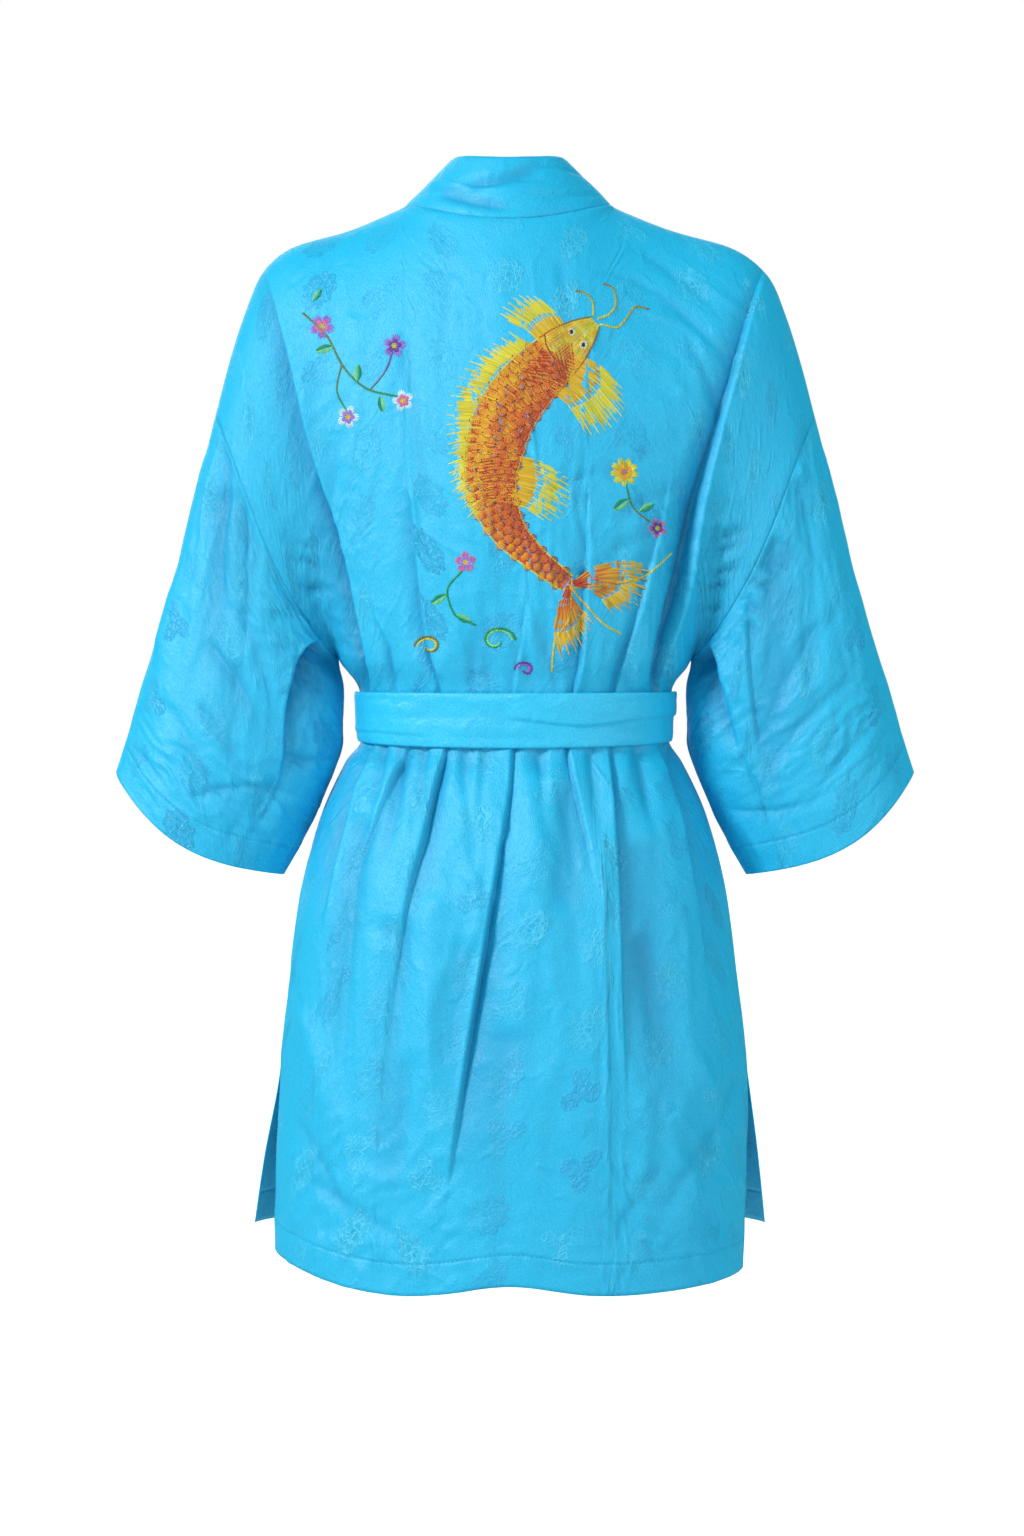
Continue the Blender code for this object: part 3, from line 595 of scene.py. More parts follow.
def cloth_piece(name, points, way, material, wall=SILK_WALL, marks=(), middle=None, close=False):
    """A thin shell through a grid of points, with a UV map of the flat cloth in metres."""
    rows, columns = points.shape[:2]
    index = np.arange(rows * columns).reshape(rows, columns)
    corners = np.stack([index[:-1, :-1], index[1:, :-1], index[1:, 1:], index[:-1, 1:]], -1).reshape(-1, 4)
    if way < 0:
        corners = corners[:, ::-1]
    mesh = bpy.data.meshes.new(name)
    mesh.from_pydata((points.reshape(-1, 3) * MM).tolist(), [], corners.tolist())
    across = np.linalg.norm(np.diff(points, axis=1), axis=2)
    down = np.linalg.norm(np.diff(points, axis=0), axis=2)
    u = np.concatenate([np.zeros((rows, 1)), np.cumsum(across, 1)], 1)
    u -= u[:, [columns // 2 if middle is None else middle]]
    v = -np.concatenate([np.zeros((1, columns)), np.cumsum(down, 0)], 0)
    flat = np.stack([u, v], -1).reshape(-1, 2)[corners.ravel()] * MM
    mesh.uv_layers.new(name="cloth").data.foreach_set("uv", flat.ravel())
    for mark, values in marks:
        heights = np.broadcast_to(values, (rows, columns)).astype(np.float32)
        mesh.attributes.new(mark, "FLOAT", "POINT").data.foreach_set("value", heights.ravel())
    piece = placed(name, mesh, material)
    if close:
        edit = bmesh.new()
        edit.from_mesh(mesh)
        bmesh.ops.remove_doubles(edit, verts=edit.verts, dist=0.05 * MM)
        edit.to_mesh(mesh)
        edit.free()
    bpy.context.view_layer.objects.active = piece
    thick = piece.modifiers.new("Thickness", "SOLIDIFY")
    thick.thickness = wall * MM
    thick.offset = 0
    bpy.ops.object.modifier_apply(modifier=thick.name)
    return piece


# the running stitches of the hems, and the shape of any strand of thread
SEWN_LONG = 2.6
SEWN_PITCH = 3.6
SEWN_WIDE = 0.5
SEWN_PROUD = 0.3
RING_SHARES = (0.0, 0.14, 0.5, 0.86, 1.0)
# across each strand of thread: its two feet and its rounded top
STRAND_PROFILE = ((-0.5, -0.15), (-0.26, 0.85), (0.26, 0.85), (0.5, -0.15))
STRAND_SWELL = (0.6, 1.0, 0.6)
STRAND_NARROWS = (0.8, 1.0, 0.8)


def strands(name, places, up, width, height, colours, material):
    """Short raised strands of thread as one mesh. Each has five places along it, from tip to tip."""
    count = len(places)
    along = places[:, -1] - places[:, 0]
    along /= np.maximum(np.linalg.norm(along, axis=1, keepdims=True), 1e-6)
    sideways = np.cross(along, up)
    sideways /= np.maximum(np.linalg.norm(sideways, axis=1, keepdims=True), 1e-6)
    up = np.cross(sideways, along)
    width, height = (np.broadcast_to(size, count)[:, None, None] for size in (width, height))
    swell, narrows = np.array(STRAND_SWELL)[:, None], np.array(STRAND_NARROWS)[:, None]
    rings = []
    for off, lift in STRAND_PROFILE:
        raised = up[:, None] * height * (swell * (lift + 0.15) - 0.15)
        rings.append(places[:, 1:4] + raised + sideways[:, None] * width * off * narrows)
    tips = places[:, [0, -1]] - up[:, None] * 0.2
    strand = np.concatenate([np.stack(rings, 2).reshape(count, 12, 3), tips], 1)
    around = [(k, (k + 1) % 4) for k in range(4)]
    faces = [(4 * r + k, 4 * r + n, 4 * r + 4 + n, 4 * r + 4 + k) for r in (0, 1) for k, n in around]
    faces += [(12, n, k) for k, n in around] + [(13, 8 + k, 8 + n) for k, n in around]
    mesh = bpy.data.meshes.new(name)
    every = [tuple(i * 14 + v for v in face) for i in range(count) for face in faces]
    mesh.from_pydata((strand.reshape(-1, 3) * MM).tolist(), [], every)
    painted = np.concatenate([np.broadcast_to(colours, (count, 3)), np.ones((count, 1))], 1)
    dyes = mesh.color_attributes.new("floss", "FLOAT_COLOR", "POINT")
    dyes.data.foreach_set("color", np.repeat(painted, 14, 0).ravel())
    edit = bmesh.new()
    edit.from_mesh(mesh)
    bmesh.ops.recalc_face_normals(edit, faces=edit.faces)
    edit.to_mesh(mesh)
    edit.free()
    return placed(name, mesh, material)


def line_on(points, way, away, target):
    """Where each of a grid's columns is a given way from the edge: places and outward directions."""
    last = np.clip((away > target).sum(0) - 1, 0, len(away) - 2)
    column = np.arange(points.shape[1])
    here, ahead = away[last, column], away[last + 1, column]
    t = np.clip((here - target) / np.maximum(here - ahead, 1e-6), 0, 1)[:, None]
    outward = outward_of(points, way)
    return [mix(grid[last, column], grid[last + 1, column], t) for grid in (points, outward)]


def sewn(name, lines, material):
    """Running stitches along lines on the cloth."""
    places, ups = [], []
    for line, outward in lines:
        far = np.concatenate([[0], np.cumsum(np.linalg.norm(np.diff(line, axis=0), axis=1))])
        starts = np.arange(1.0, far[-1] - SEWN_LONG, SEWN_PITCH)
        at = starts[:, None] + np.array(RING_SHARES) * SEWN_LONG
        proud = line + outward * (SILK_WALL / 2 + 0.02)
        places.append(np.stack([np.interp(at, far, proud[:, k]) for k in range(3)], -1))
        ups.append(np.stack([np.interp(starts, far, outward[:, k]) for k in range(3)], -1))
    places, ups = np.concatenate(places), np.concatenate(ups)
    return strands(name, places, ups, SEWN_WIDE, SEWN_PROUD, THREAD_BLUE, material)


# The silk's material. The weave leaves small flowers, one kind to a cell of a half-drop repeat, in the
# cloth's other face, so they shine a little differently from the ground. Peonies are rings of scalloped
# petals with veins, sprigs are three leaves round a bud, and both are crazed with petal lines.
REPEAT_ACROSS = 58
REPEAT_DOWN = 54
FLOWER_SHIFT = 13
FLOWER_BEND = 5
# petals, reach in mm, depth of the scallops, turn
PEONY_OUTER = (9, 16, 0.2, 0.3)
PEONY_INNER = (7, 11, 0.26, 1.1)
PEONY_HEART = (5, 6, 0.34, 0.2)
SPRIG_LEAVES = (3, 17, 0.86, 0.9)
SPRIG_BUD = (5, 8, 0.45, 0)
WOVEN_LINE = 0.9
VEINS = 27
SPRIGS_FROM = 0.52


class Number:
    """A shader's number. Python's signs between such numbers make Math nodes."""

    def __init__(self, socket):
        self.socket = socket

    def __add__(self, other):
        return math_node("ADD", self, other)

    def __sub__(self, other):
        return math_node("SUBTRACT", self, other)

    def __rsub__(self, other):
        return math_node("SUBTRACT", other, self)

    def __mul__(self, other):
        return math_node("MULTIPLY", self, other)

    def __truediv__(self, other):
        return math_node("DIVIDE", self, other)

    def __abs__(self):
        return math_node("ABSOLUTE", self)


def math_node(operation, *values):
    """What a Math node makes of plain numbers and shader numbers."""
    tree = next(value.socket.id_data for value in values if isinstance(value, Number))
    return Number(add_node(tree, "Math", enumerate(values), operation=operation).outputs[0])


def scaled(value, factor, added):
    return math_node("MULTIPLY_ADD", value, factor, added)


def at_least(low, value):
    return math_node("MAXIMUM", value, low)


def kept_between(low, value, high):
    return math_node("MINIMUM", at_least(low, value), high)


def noise(vector, scale, detail, distortion=0.0, **settings):
    """A noise texture's value along a map."""
    inputs = {"Vector": vector, "Scale": scale, "Detail": detail, "Distortion": distortion}
    return Number(add_node(vector.id_data, "TexNoise", inputs, **settings).outputs[0])


def petal_edge(turn, petals, reach, scallop, phase):
    """How far a scalloped ring of petals reaches at each turn about the flower's middle."""
    wave = abs(math_node("COSINE", scaled(turn, petals / 2, phase)))
    return scaled(wave, scallop, 1 - scallop) * reach


def drawn_line(radius, edge):
    """1 on the edge of a ring of petals, 0 a line's width away from it."""
    return 1 - math_node("MINIMUM", abs(radius - edge) / WOVEN_LINE, 1)


def filled(radius, edge):
    """1 inside a ring of petals, with a soft edge."""
    return kept_between(0, scaled(edge - radius, 1.4, 0.5), 1)


figure_tree = bpy.data.node_groups.new("woven flowers", "ShaderNodeTree")
figure_tree.interface.new_socket(name="Cloth", in_out="INPUT", socket_type="NodeSocketVector")
for output in ("Fill", "Line"):
    figure_tree.interface.new_socket(name=output, in_out="OUTPUT", socket_type="NodeSocketFloat")
figure_out = figure_tree.nodes.new("NodeGroupOutput")
cloth = figure_tree.nodes.new("NodeGroupInput").outputs["Cloth"]
parts = add_node(figure_tree, "SeparateXYZ", {0: cloth})
cell_u = Number(parts.outputs[0]) * (1000 / REPEAT_ACROSS)
column_of = math_node("FLOOR", cell_u)
half_drop = math_node("FLOORED_MODULO", column_of, 2) * 0.5
cell_v = Number(parts.outputs[1]) * (1000 / REPEAT_DOWN) + half_drop
which = add_node(figure_tree, "CombineXYZ", {0: column_of, 1: math_node("FLOOR", cell_v)})
chance = add_node(figure_tree, "TexWhiteNoise", {"Vector": which.outputs[0]}, noise_dimensions="2D")
chances = add_node(figure_tree, "SeparateColor", {0: chance.outputs["Color"]})


def in_cell(cell, size, channel):
    """Millimetres from the middle of a cell's flower, which lies a little off the cell's own middle."""
    shift = scaled(Number(chances.outputs[channel]), FLOWER_SHIFT, -FLOWER_SHIFT / 2)
    return (math_node("FRACT", cell) - 0.5) * size - shift


bent = scaled(noise(cloth, 190, 1), FLOWER_BEND, -FLOWER_BEND / 2)
local_x = in_cell(cell_u, REPEAT_ACROSS, 0) + bent
local_y = in_cell(cell_v, REPEAT_DOWN, 1) - bent
radius = math_node("SQRT", local_x * local_x + local_y * local_y)
turn = scaled(Number(chance.outputs["Value"]), math.tau, math_node("ARCTAN2", local_y, local_x))

crazed = add_node(figure_tree, "TexVoronoi", {"Vector": cloth, "Scale": 210}, feature="DISTANCE_TO_EDGE")
petal_line = at_least(0, 1 - Number(crazed.outputs["Distance"]) * 7)
inner = petal_edge(turn, *PEONY_INNER)
inside = filled(radius, petal_edge(turn, *PEONY_OUTER))
between = inside - filled(radius, inner) * 0.45
veins = math_node("GREATER_THAN", math_node("SINE", turn * VEINS), 0.55)
peony_fill = between + filled(radius, petal_edge(turn, *PEONY_HEART)) * 0.4
peony_line = at_least(drawn_line(radius, inner) * 0.7, petal_line * inside)
peony_line = at_least(peony_line, veins * between * 0.5)
leaves = petal_edge(turn, *SPRIG_LEAVES)
sprig_fill = at_least(filled(radius, leaves), filled(radius, petal_edge(turn, *SPRIG_BUD)))
sprig_line = at_least(drawn_line(radius, leaves) * 0.35, petal_line * sprig_fill)
sprig_here = math_node("GREATER_THAN", Number(chances.outputs[2]), SPRIGS_FROM)
for output, peony, sprig in (("Fill", peony_fill, sprig_fill), ("Line", peony_line, sprig_line)):
    feed(figure_out, {output: peony * (1 - sprig_here) + sprig * sprig_here})

# painted shade: the deep blue the silk is darkened towards in the hollows of pleats and folds, and a little
# on the woven lines in shaded patches
PAINTED_SHADE_BLUE = (0, 0.165, 0.38)


def silk(name, ground, deep, light, figured=1.0, roughness=0.51):
    """Figured satin: its flowers, deeper with lighter outlines, partly their own tone and partly painted
    sheen and painted shade, its fine rib, its hair creases and painted shade in the hollows.
    """
    material, tree, shader = new_material(name)
    cloth = add_node(tree, "UVMap", uv_map="cloth").outputs[0]
    flowers = add_node(tree, "Group", {"Cloth": cloth}, node_tree=figure_tree)
    # noise patches: where the flowers' outlines get a painted sheen, and where their fills and lines get a
    # painted shade
    faint = noise(cloth, 7, 2)
    sheen_patches = kept_between(0.1, scaled(faint, 4.2, -1.75), 1) * figured
    shade_patches = kept_between(0.12, scaled(faint, -4.2, 2.3), 1) * figured
    fill = Number(flowers.outputs["Fill"]) * shade_patches
    line = Number(flowers.outputs["Line"]) * sheen_patches
    shaded_line = Number(flowers.outputs["Line"]) * shade_patches
    grain = noise(cloth, 620, 2)
    # the mask of painted shade in the hollows, carried by the cloth's hollow attribute
    hollow_shade = Number(add_node(tree, "Attribute", attribute_name="hollow").outputs["Fac"])
    colour = (*ground, 1)
    for tint, amount in (
        (deep, noise(cloth, 5, 3) * 0.3),
        # the flowers' fills, deeper in the shade patches: partly their own tone, partly painted shade
        (deep, fill * 0.62),
        # painted shade on the woven lines in the shade patches
        (PAINTED_SHADE_BLUE, shaded_line * 0.1),
        # painted sheen: the flowers' outlines lighter in the sheen patches
        (light, line * 0.55),
        (light, at_least(0, scaled(grain, 1.6, -0.8)) * 0.5),
        (deep, at_least(0, scaled(grain, -1.6, 0.8)) * 0.9),
        # painted shade: the hollows of the pleats and folds darkened towards the deep blue
        (PAINTED_SHADE_BLUE, hollow_shade * 0.92),
    ):
        tinted = {"Factor": amount, "A": colour, "B": (*tint, 1)}
        colour = add_node(tree, "Mix", tinted, data_type="RGBA").outputs["Result"]

    threads = add_node(tree, "Mapping", {"Vector": cloth, "Scale": (1400, 420, 1)}).outputs[0]
    hair = noise(cloth, 55, 4, 0.8, noise_type="RIDGED_MULTIFRACTAL")
    from_hem_line = Number(add_node(tree, "Attribute", attribute_name="hem").outputs["Fac"])
    groove = math_node("EXPONENT", from_hem_line * from_hem_line * -0.5)
    height = noise(threads, 1, 1) * 0.5 + hair * 1.25 + fill * 0.15
    height = height + (line + shaded_line) * 0.4 - groove * 0.5
    bump = add_node(tree, "Bump", {"Height": height, "Distance": 0.001, "Strength": 1})
    feed(
        shader,
        {
            "Base Color": colour,
            "Roughness": scaled(fill, -0.08, roughness),
            "Specular IOR Level": 0.82,
            "Sheen Weight": 0.04,
            "Sheen Roughness": 0.35,
            "Sheen Tint": (0.75, 0.95, 1, 1),
            "Normal": bump.outputs["Normal"],
        },
    )
    return material


ROBE_BLUE = (0.003, 0.49, 0.79)
ROBE_DEEP = (0.001, 0.34, 0.66)
ROBE_LIGHT = (0.16, 0.72, 0.95)
robe_silk = silk("figured blue silk", ROBE_BLUE, ROBE_DEEP, ROBE_LIGHT)

floss, floss_tree, floss_shader = new_material("dyed floss")
dyed = add_node(floss_tree, "Attribute", attribute_name="floss").outputs["Color"]
feed(floss_shader, {"Base Color": dyed, "Roughness": 0.42, "Sheen Weight": 0.15, "Specular IOR Level": 0.4})
THREAD_BLUE = (0.01, 0.36, 0.66)

# the depth of the hems, and the small puckers along their stitching
HEM_DEEP = 24
HEM_LINE_WIDE = 12
HEM_RIPPLE = 1.1
SLIT_HEM = 9
SLIT_COLUMNS = 20
SLIT_CLEAR = 6
# how far out creases stand, broad waves, and the fine gathers that fade away from the sash
CREASE_HEIGHT = 1.45
WAVE_HEIGHT = 0.9
GATHER_HEIGHT = 0.9
GATHER_FADE = 16
UNDER_SASH = 4
UNDER_SASH_HEIGHT = 0.8
# drop, and how far from the middle each front's edge lies on its own side
OPENINGS = ((300, 27), (357, 18), (424, 9), (600, -4), (850, -20))


def settled(points, way, folds, creases, crumples, keep, near_belt, pleated=0.0):
    """The panel's plain surface with its pleats, folds, creases, crumples and the gathers at the sash.

    Also gives how deep in a hollow each point lies, as the mask for painted shade.
    """
    x, drop = points[..., 0], -points[..., 2]
    push = fold_push(folds, x, drop) * keep
    push += CREASE_HEIGHT * fold_push(creases, x, drop) * keep
    # the mask of painted shade, from the depth of the folds, creases and pleats
    hollow = hollow_shade_of(push + pleated)
    push += crumple_push(crumples, x, drop) * keep
    push += WAVE_HEIGHT * uneven(x / 34, drop / 80, 5) * keep
    gathers = uneven(x / 6.5, drop / 60, 6) + 0.6 * uneven(x / 3.6, drop / 50, 7)
    push += GATHER_HEIGHT * gathers * np.exp(-near_belt / GATHER_FADE) * keep + pleated
    push = np.where(near_belt < UNDER_SASH, np.minimum(push, UNDER_SASH_HEIGHT), push)
    return points + outward_of(points, way) * push[..., None], hollow


def hem_ripple(along, to_edge, seed, deep=HEM_DEEP):
    """Small puckers along the stitching of a hem."""
    near_line = np.exp(-(((to_edge - deep) / HEM_LINE_WIDE) ** 2))
    return HEM_RIPPLE * uneven(along, to_edge / 60, seed) * near_line


BACK_PLAIN_COLUMNS = 201
BACK_COLUMNS = 190
# rows of the grid above the underarm, down to the sash, under it, and down to the hem
BACK_ROWS = (100, 22, 8, 125)
across, v = np.meshgrid(np.linspace(1, -1, BACK_PLAIN_COLUMNS), even_rows(*BACK_ROWS))
side = np.where(across >= 0, 1, -1)
share = np.abs(across)
back_points = panel_point(side, share, v, "back")
easing = rise(0.02, 0.2, v) * (1 - rise(1, 1.8, v)) * (1 - rise(0.12, 0.3, np.abs(share - NECK_SHARE)))
back_points, across = along_edges(eased(back_points, easing), BACK_PLEATS, BACK_COLUMNS)
across = 1 - 2 * across / (BACK_PLAIN_COLUMNS - 1)
share, v = np.abs(across), v[:, :1] + 0 * across
calm = (1 - rise(*CALM_SIDE, share)) * rise(*CALM_TOP, v)
# below the armholes the side seams are hidden in the folds, so the cloth moves nearly to the edge
calm = np.where(v > 1, 1 - rise(0.9, 1, share), calm)
drop = -back_points[..., 2]
sag = BELT_SAG * np.cos(np.radians(90 * share))
near_belt = np.maximum(np.maximum(BELT_TOP + sag / 2 - drop, drop - BELT_BOTTOM - sag), 0)
pleated = pleat_push(BACK_PLEATS, back_points[..., 0], drop)
pleated = pleated * (1 - rise(*PLEATS_CALM, share)) * rise(*CALM_TOP, v)
back_points, hollow_shade = settled(
    back_points, 1, BACK_FOLDS, BACK_CREASES, BACK_CRUMPLES, calm, near_belt, pleated
)
to_hem = to_last_row(back_points)
back_points += outward_of(back_points, 1) * hem_ripple(across * 26, to_hem, 8)[..., None]
# the hem line for the bump's groove, and the mask of painted shade in the hollows
back_marks = (("hem", to_hem - HEM_DEEP), ("hollow", hollow_shade))
back = cloth_piece("back_panel", back_points, 1, robe_silk, marks=back_marks)
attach(back, "root")
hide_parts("back")
back_lines = [line_on(back_points[:, 2:-2], 1, to_hem[:, 2:-2], HEM_DEEP)]
below_slit = -back_points[..., 2].mean(1) > SLIT_DROP + SLIT_CLEAR
for flip in (1, -1):
    slit_part = np.swapaxes(back_points[below_slit][:, ::flip][:, :SLIT_COLUMNS], 0, 1)[::-1]
    back_lines.append(line_on(slit_part, flip, to_last_row(slit_part), SLIT_HEM))
back_sewing = sewn("back_sewing", back_lines, floss)
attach(back_sewing, "root")


# The embroidery on the upper back: a leaping koi among blossoms, a gold chrysanthemum and water curls, in
# satin stitch of dyed floss over the figured silk, with couched cords for outlines, barbels and stems. All
# of it is one layer of short raised strands. Places are x towards the picture's right, and the drop.
FLOSS_RED = (0.62, 0.035, 0.012)
FLOSS_ORANGE = (0.86, 0.145, 0.012)
FLOSS_AMBER = (0.93, 0.36, 0.012)
FLOSS_GOLD = (0.86, 0.58, 0.035)
FLOSS_DARK_RED = (0.27, 0.012, 0.02)
FLOSS_LILAC = (0.44, 0.16, 0.62)
FLOSS_PURPLE = (0.22, 0.035, 0.33)
FLOSS_PINK = (0.8, 0.13, 0.33)
FLOSS_WHITE = (0.82, 0.82, 0.86)
FLOSS_GREEN = (0.01, 0.27, 0.09)
FLOSS_PALE_GREEN = (0.27, 0.62, 0.2)
FLOSS_OLIVE = (0.23, 0.16, 0.035)
FLOSS_BLACK = (0.015, 0.012, 0.02)
STITCH_WIDTH = 1.15
STITCH_HEIGHT = 0.62
CORD_PITCH = 2.1
CORD_SLANT = 0.45
CORD_OVERLAP = 0.35
CORD_HEIGHT = 1.25 * STITCH_HEIGHT
# a fin's web: stitches to a millimetre of its edge, their size, and the widths of its rays' three stitches
WEB_STITCHES = 0.95
WEB_WIDTH = 1.15
WEB_HEIGHT = 0.32
RAY_WIDTHS = (1.38, 1.26, 1.26)
# where a fin's stitches end along a ray, the reach of its shorter rays, and how far its stitches overlap
WEB_STEPS = (0.36, 0.66)
WEB_TIPS = (0.82, 0.95)
RAY_STEPS = (0.36, 0.7, 1)
SHORT_RAYS = (0.7, 0.93)
RAY_OVERLAP = 0.12
# a blossom's stitches to a millimetre of size, the fullness of its petals, and where their two layers lie
PETAL_STITCHES = 0.62
PETAL_SPREAD = 0.86
PETAL_LAYERS = ((0.2, 0.62), (0.5, 1))
HEART_REACH = 0.16
LEAF_HALF = 0.26
LEAF_SLANT = 0.16
COLOUR_SPREAD = 0.16

stitches = []
handwork = np.random.default_rng(41)


def stitch(start, end, colour, width=STITCH_WIDTH, height=STITCH_HEIGHT):
    stitches.append((*start, *end, width, height, *colour))


def between_colours(first, second, share):
    return tuple(mix(a, b, min(max(share, 0), 1)) for a, b in zip(first, second))


def on_curve(rows, at, off=0.0):
    """A place on the smooth curve through a table's x and drop, moved to its left by `off`."""
    shares = np.array([at, min(at + 0.01, 1), max(at - 0.01, 0)])
    (x, x_ahead, x_back), (drop, drop_ahead, drop_back) = (read(rows, k, shares).tolist() for k in (1, 2))
    run_x, run_drop = x_ahead - x_back, drop_ahead - drop_back
    length = max(math.hypot(run_x, run_drop), 1e-6)
    return x + off * run_drop / length, drop - off * run_x / length


def as_curve(*places):
    """A table of share, x and drop for a line of places."""
    lengths = [0.0]
    for (x0, d0), (x1, d1) in zip(places, places[1:]):
        lengths.append(lengths[-1] + math.hypot(x1 - x0, d1 - d0))
    return [(length / lengths[-1], *place) for length, place in zip(lengths, places)], lengths[-1]


def about(x, drop, angle, reach):
    """A place at an angle and a reach about another."""
    return x + math.cos(angle) * reach, drop + math.sin(angle) * reach


def cord(places, first, last, width=1.5):
    """A couched cord: short slanted stitches, end over end."""
    rows, length = as_curve(*places)
    count = max(2, round(length / CORD_PITCH))
    for i in range(count):
        start = on_curve(rows, i / count, -CORD_SLANT * width)
        end = on_curve(rows, min((i + 1 + CORD_OVERLAP) / count, 1), CORD_SLANT * width)
        stitch(start, end, between_colours(first, last, i / count), width, CORD_HEIGHT)


def fan(root, tips, colours, rays, bend):
    """A fin: rays of three long stitches from a root line to a line of tips, over a web of finer ones."""
    (root_rows, _), (tip_rows, tip_length) = as_curve(*root), as_curve(*tips)

    def ray(share, shares_along):
        """Places along one ray, which bends a little to its side."""
        (x0, d0), (x1, d1) = on_curve(root_rows, share), on_curve(tip_rows, share)
        places = [(x0, d0)]
        for t in shares_along:
            swell = bend * math.sin(math.pi * t)
            places.append((mix(x0, x1, t) + (d1 - d0) * swell, mix(d0, d1, t) - (x1 - x0) * swell))
        return places

    web = round(tip_length * WEB_STITCHES)
    for i in range(web):
        places = ray((i + 0.5) / web, (*WEB_STEPS, handwork.uniform(*WEB_TIPS)))
        for start, end, colour in zip(places, places[1:], colours):
            stitch(start, end, between_colours(colour, FLOSS_GOLD, 0.4), WEB_WIDTH, WEB_HEIGHT)
    for i in range(rays):
        reach = 1 if i % 2 == 0 else handwork.uniform(*SHORT_RAYS)
        start, *ends = ray((i + 0.5) / rays, [step * reach for step in RAY_STEPS])
        for end, colour, width in zip(ends, colours, RAY_WIDTHS):
            stitch(start, end, colour, width)
            start = tuple(mix(here, back, RAY_OVERLAP) for here, back in zip(end, start))


def blossom(x, drop, size, petal, tip, petals=5, turn=0.0, heart=FLOSS_GOLD):
    """Petals of radial stitches in two layers, notched at their tips, with knots at the heart."""
    count = max(5, round(size * PETAL_STITCHES))
    for p in range(petals):
        for i in range(count):
            off = (i + 0.5) / count * 2 - 1
            angle = turn + math.tau * p / petals + off * math.pi / petals * PETAL_SPREAD
            reach = size * (1 - 0.32 * off**2 - (0.12 if abs(off) < 0.15 else 0))
            for (near, far), tone in zip(PETAL_LAYERS, (petal, tip)):
                stitch(about(x, drop, angle, reach * near), about(x, drop, angle, reach * far), tone)
    for k in range(7):
        knot_x, knot_drop = about(x, drop, turn + k * math.tau / 6, 0 if k == 6 else size * HEART_REACH)
        stitch((knot_x - 0.9, knot_drop), (knot_x + 0.9, knot_drop), heart, 1.6, 1.1)


def leaf(x, drop, length, angle):
    """Slanted stitches on each side of a leaf's midrib, lighter on one."""
    count = round(length / STITCH_WIDTH)
    for i in range(count):
        t = (i + 0.5) / count
        half = length * LEAF_HALF * math.sin(math.pi * t**0.8)
        ahead = about(x, drop, angle, length * min(t + LEAF_SLANT, 1))
        for way, tone in ((1, FLOSS_GREEN), (-1, FLOSS_PALE_GREEN)):
            stitch(about(x, drop, angle, length * t), about(*ahead, angle + way * math.pi / 2, half), tone)


# the koi's back line: share, x, drop, half width
KOI = (
    (0.000, 62, 104, 4.5), (0.050, 52, 113, 12), (0.130, 37, 127, 18), (0.280, 10, 154, 22),
    (0.436, -11, 187, 23), (0.590, -19, 226, 20), (0.730, -9, 260, 14.5), (0.870, 14, 286, 9.5),
    (1.000, 40, 306, 7),
)
KOI_LENGTH = 250
PADDING_PITCH = 1.25
# the width of a scale, its rows' distance and its reach as shares of it, and how far in its root lies
SCALE = 8.4
SCALE_ROWS = 0.72
SCALE_REACH = 0.56
SCALE_ROOT = 0.18
HEAD_END = 0.16
GILL_BOW = 0.03
EYE_AT = 0.075
EYE_RING = (1.4, 3.4)


def on_koi(share, across):
    """A place on the koi, across from -1 at its belly to 1 along its back."""
    return on_curve(KOI, share, across * float(read(KOI, 3, share)))


def koi_scales():
    """Scales in rows, each a small fan of stitches with a dark edge, from red at the back to gold below."""
    step = SCALE * SCALE_ROWS / KOI_LENGTH
    for row in range(int((1 - HEAD_END) / step)):
        middle = HEAD_END + (row + 0.5) * step
        half = float(read(KOI, 3, middle))
        count = max(2, round(2 * half / SCALE))
        for column in range(count + row % 2):
            across = ((column + (0.5 if row % 2 == 0 else 0)) / count) * 2 - 1
            x, drop = on_koi(middle, across * 0.88)
            ahead_x, ahead_drop = on_koi(min(middle + 0.02, 1), across * 0.88)
            along = math.atan2(ahead_drop - drop, ahead_x - x)
            reach = SCALE * SCALE_REACH * (1 if half > 12 else 0.8)
            belly = (1 - across) / 2
            amber = belly * 1.9 - 0.95 + handwork.uniform(-0.15, 0.15)
            ground = between_colours(FLOSS_RED, FLOSS_ORANGE, belly * 2.2)
            ground = between_colours(ground, FLOSS_AMBER, amber)
            root_x, root_drop = about(x, drop, along, -reach * 0.9)
            arc = [about(x, drop, along + math.radians(28 * i - 84), reach) for i in range(7)]
            for i, end in enumerate(arc):
                start = (mix(root_x, end[0], SCALE_ROOT), mix(root_drop, end[1], SCALE_ROOT))
                stitch(start, end, between_colours(ground, FLOSS_AMBER, 0.25 if i % 2 else 0))
            for first, second in zip(arc, arc[1:]):
                stitch(first, second, FLOSS_DARK_RED if belly < 0.75 else FLOSS_RED, 0.8, 0.95)


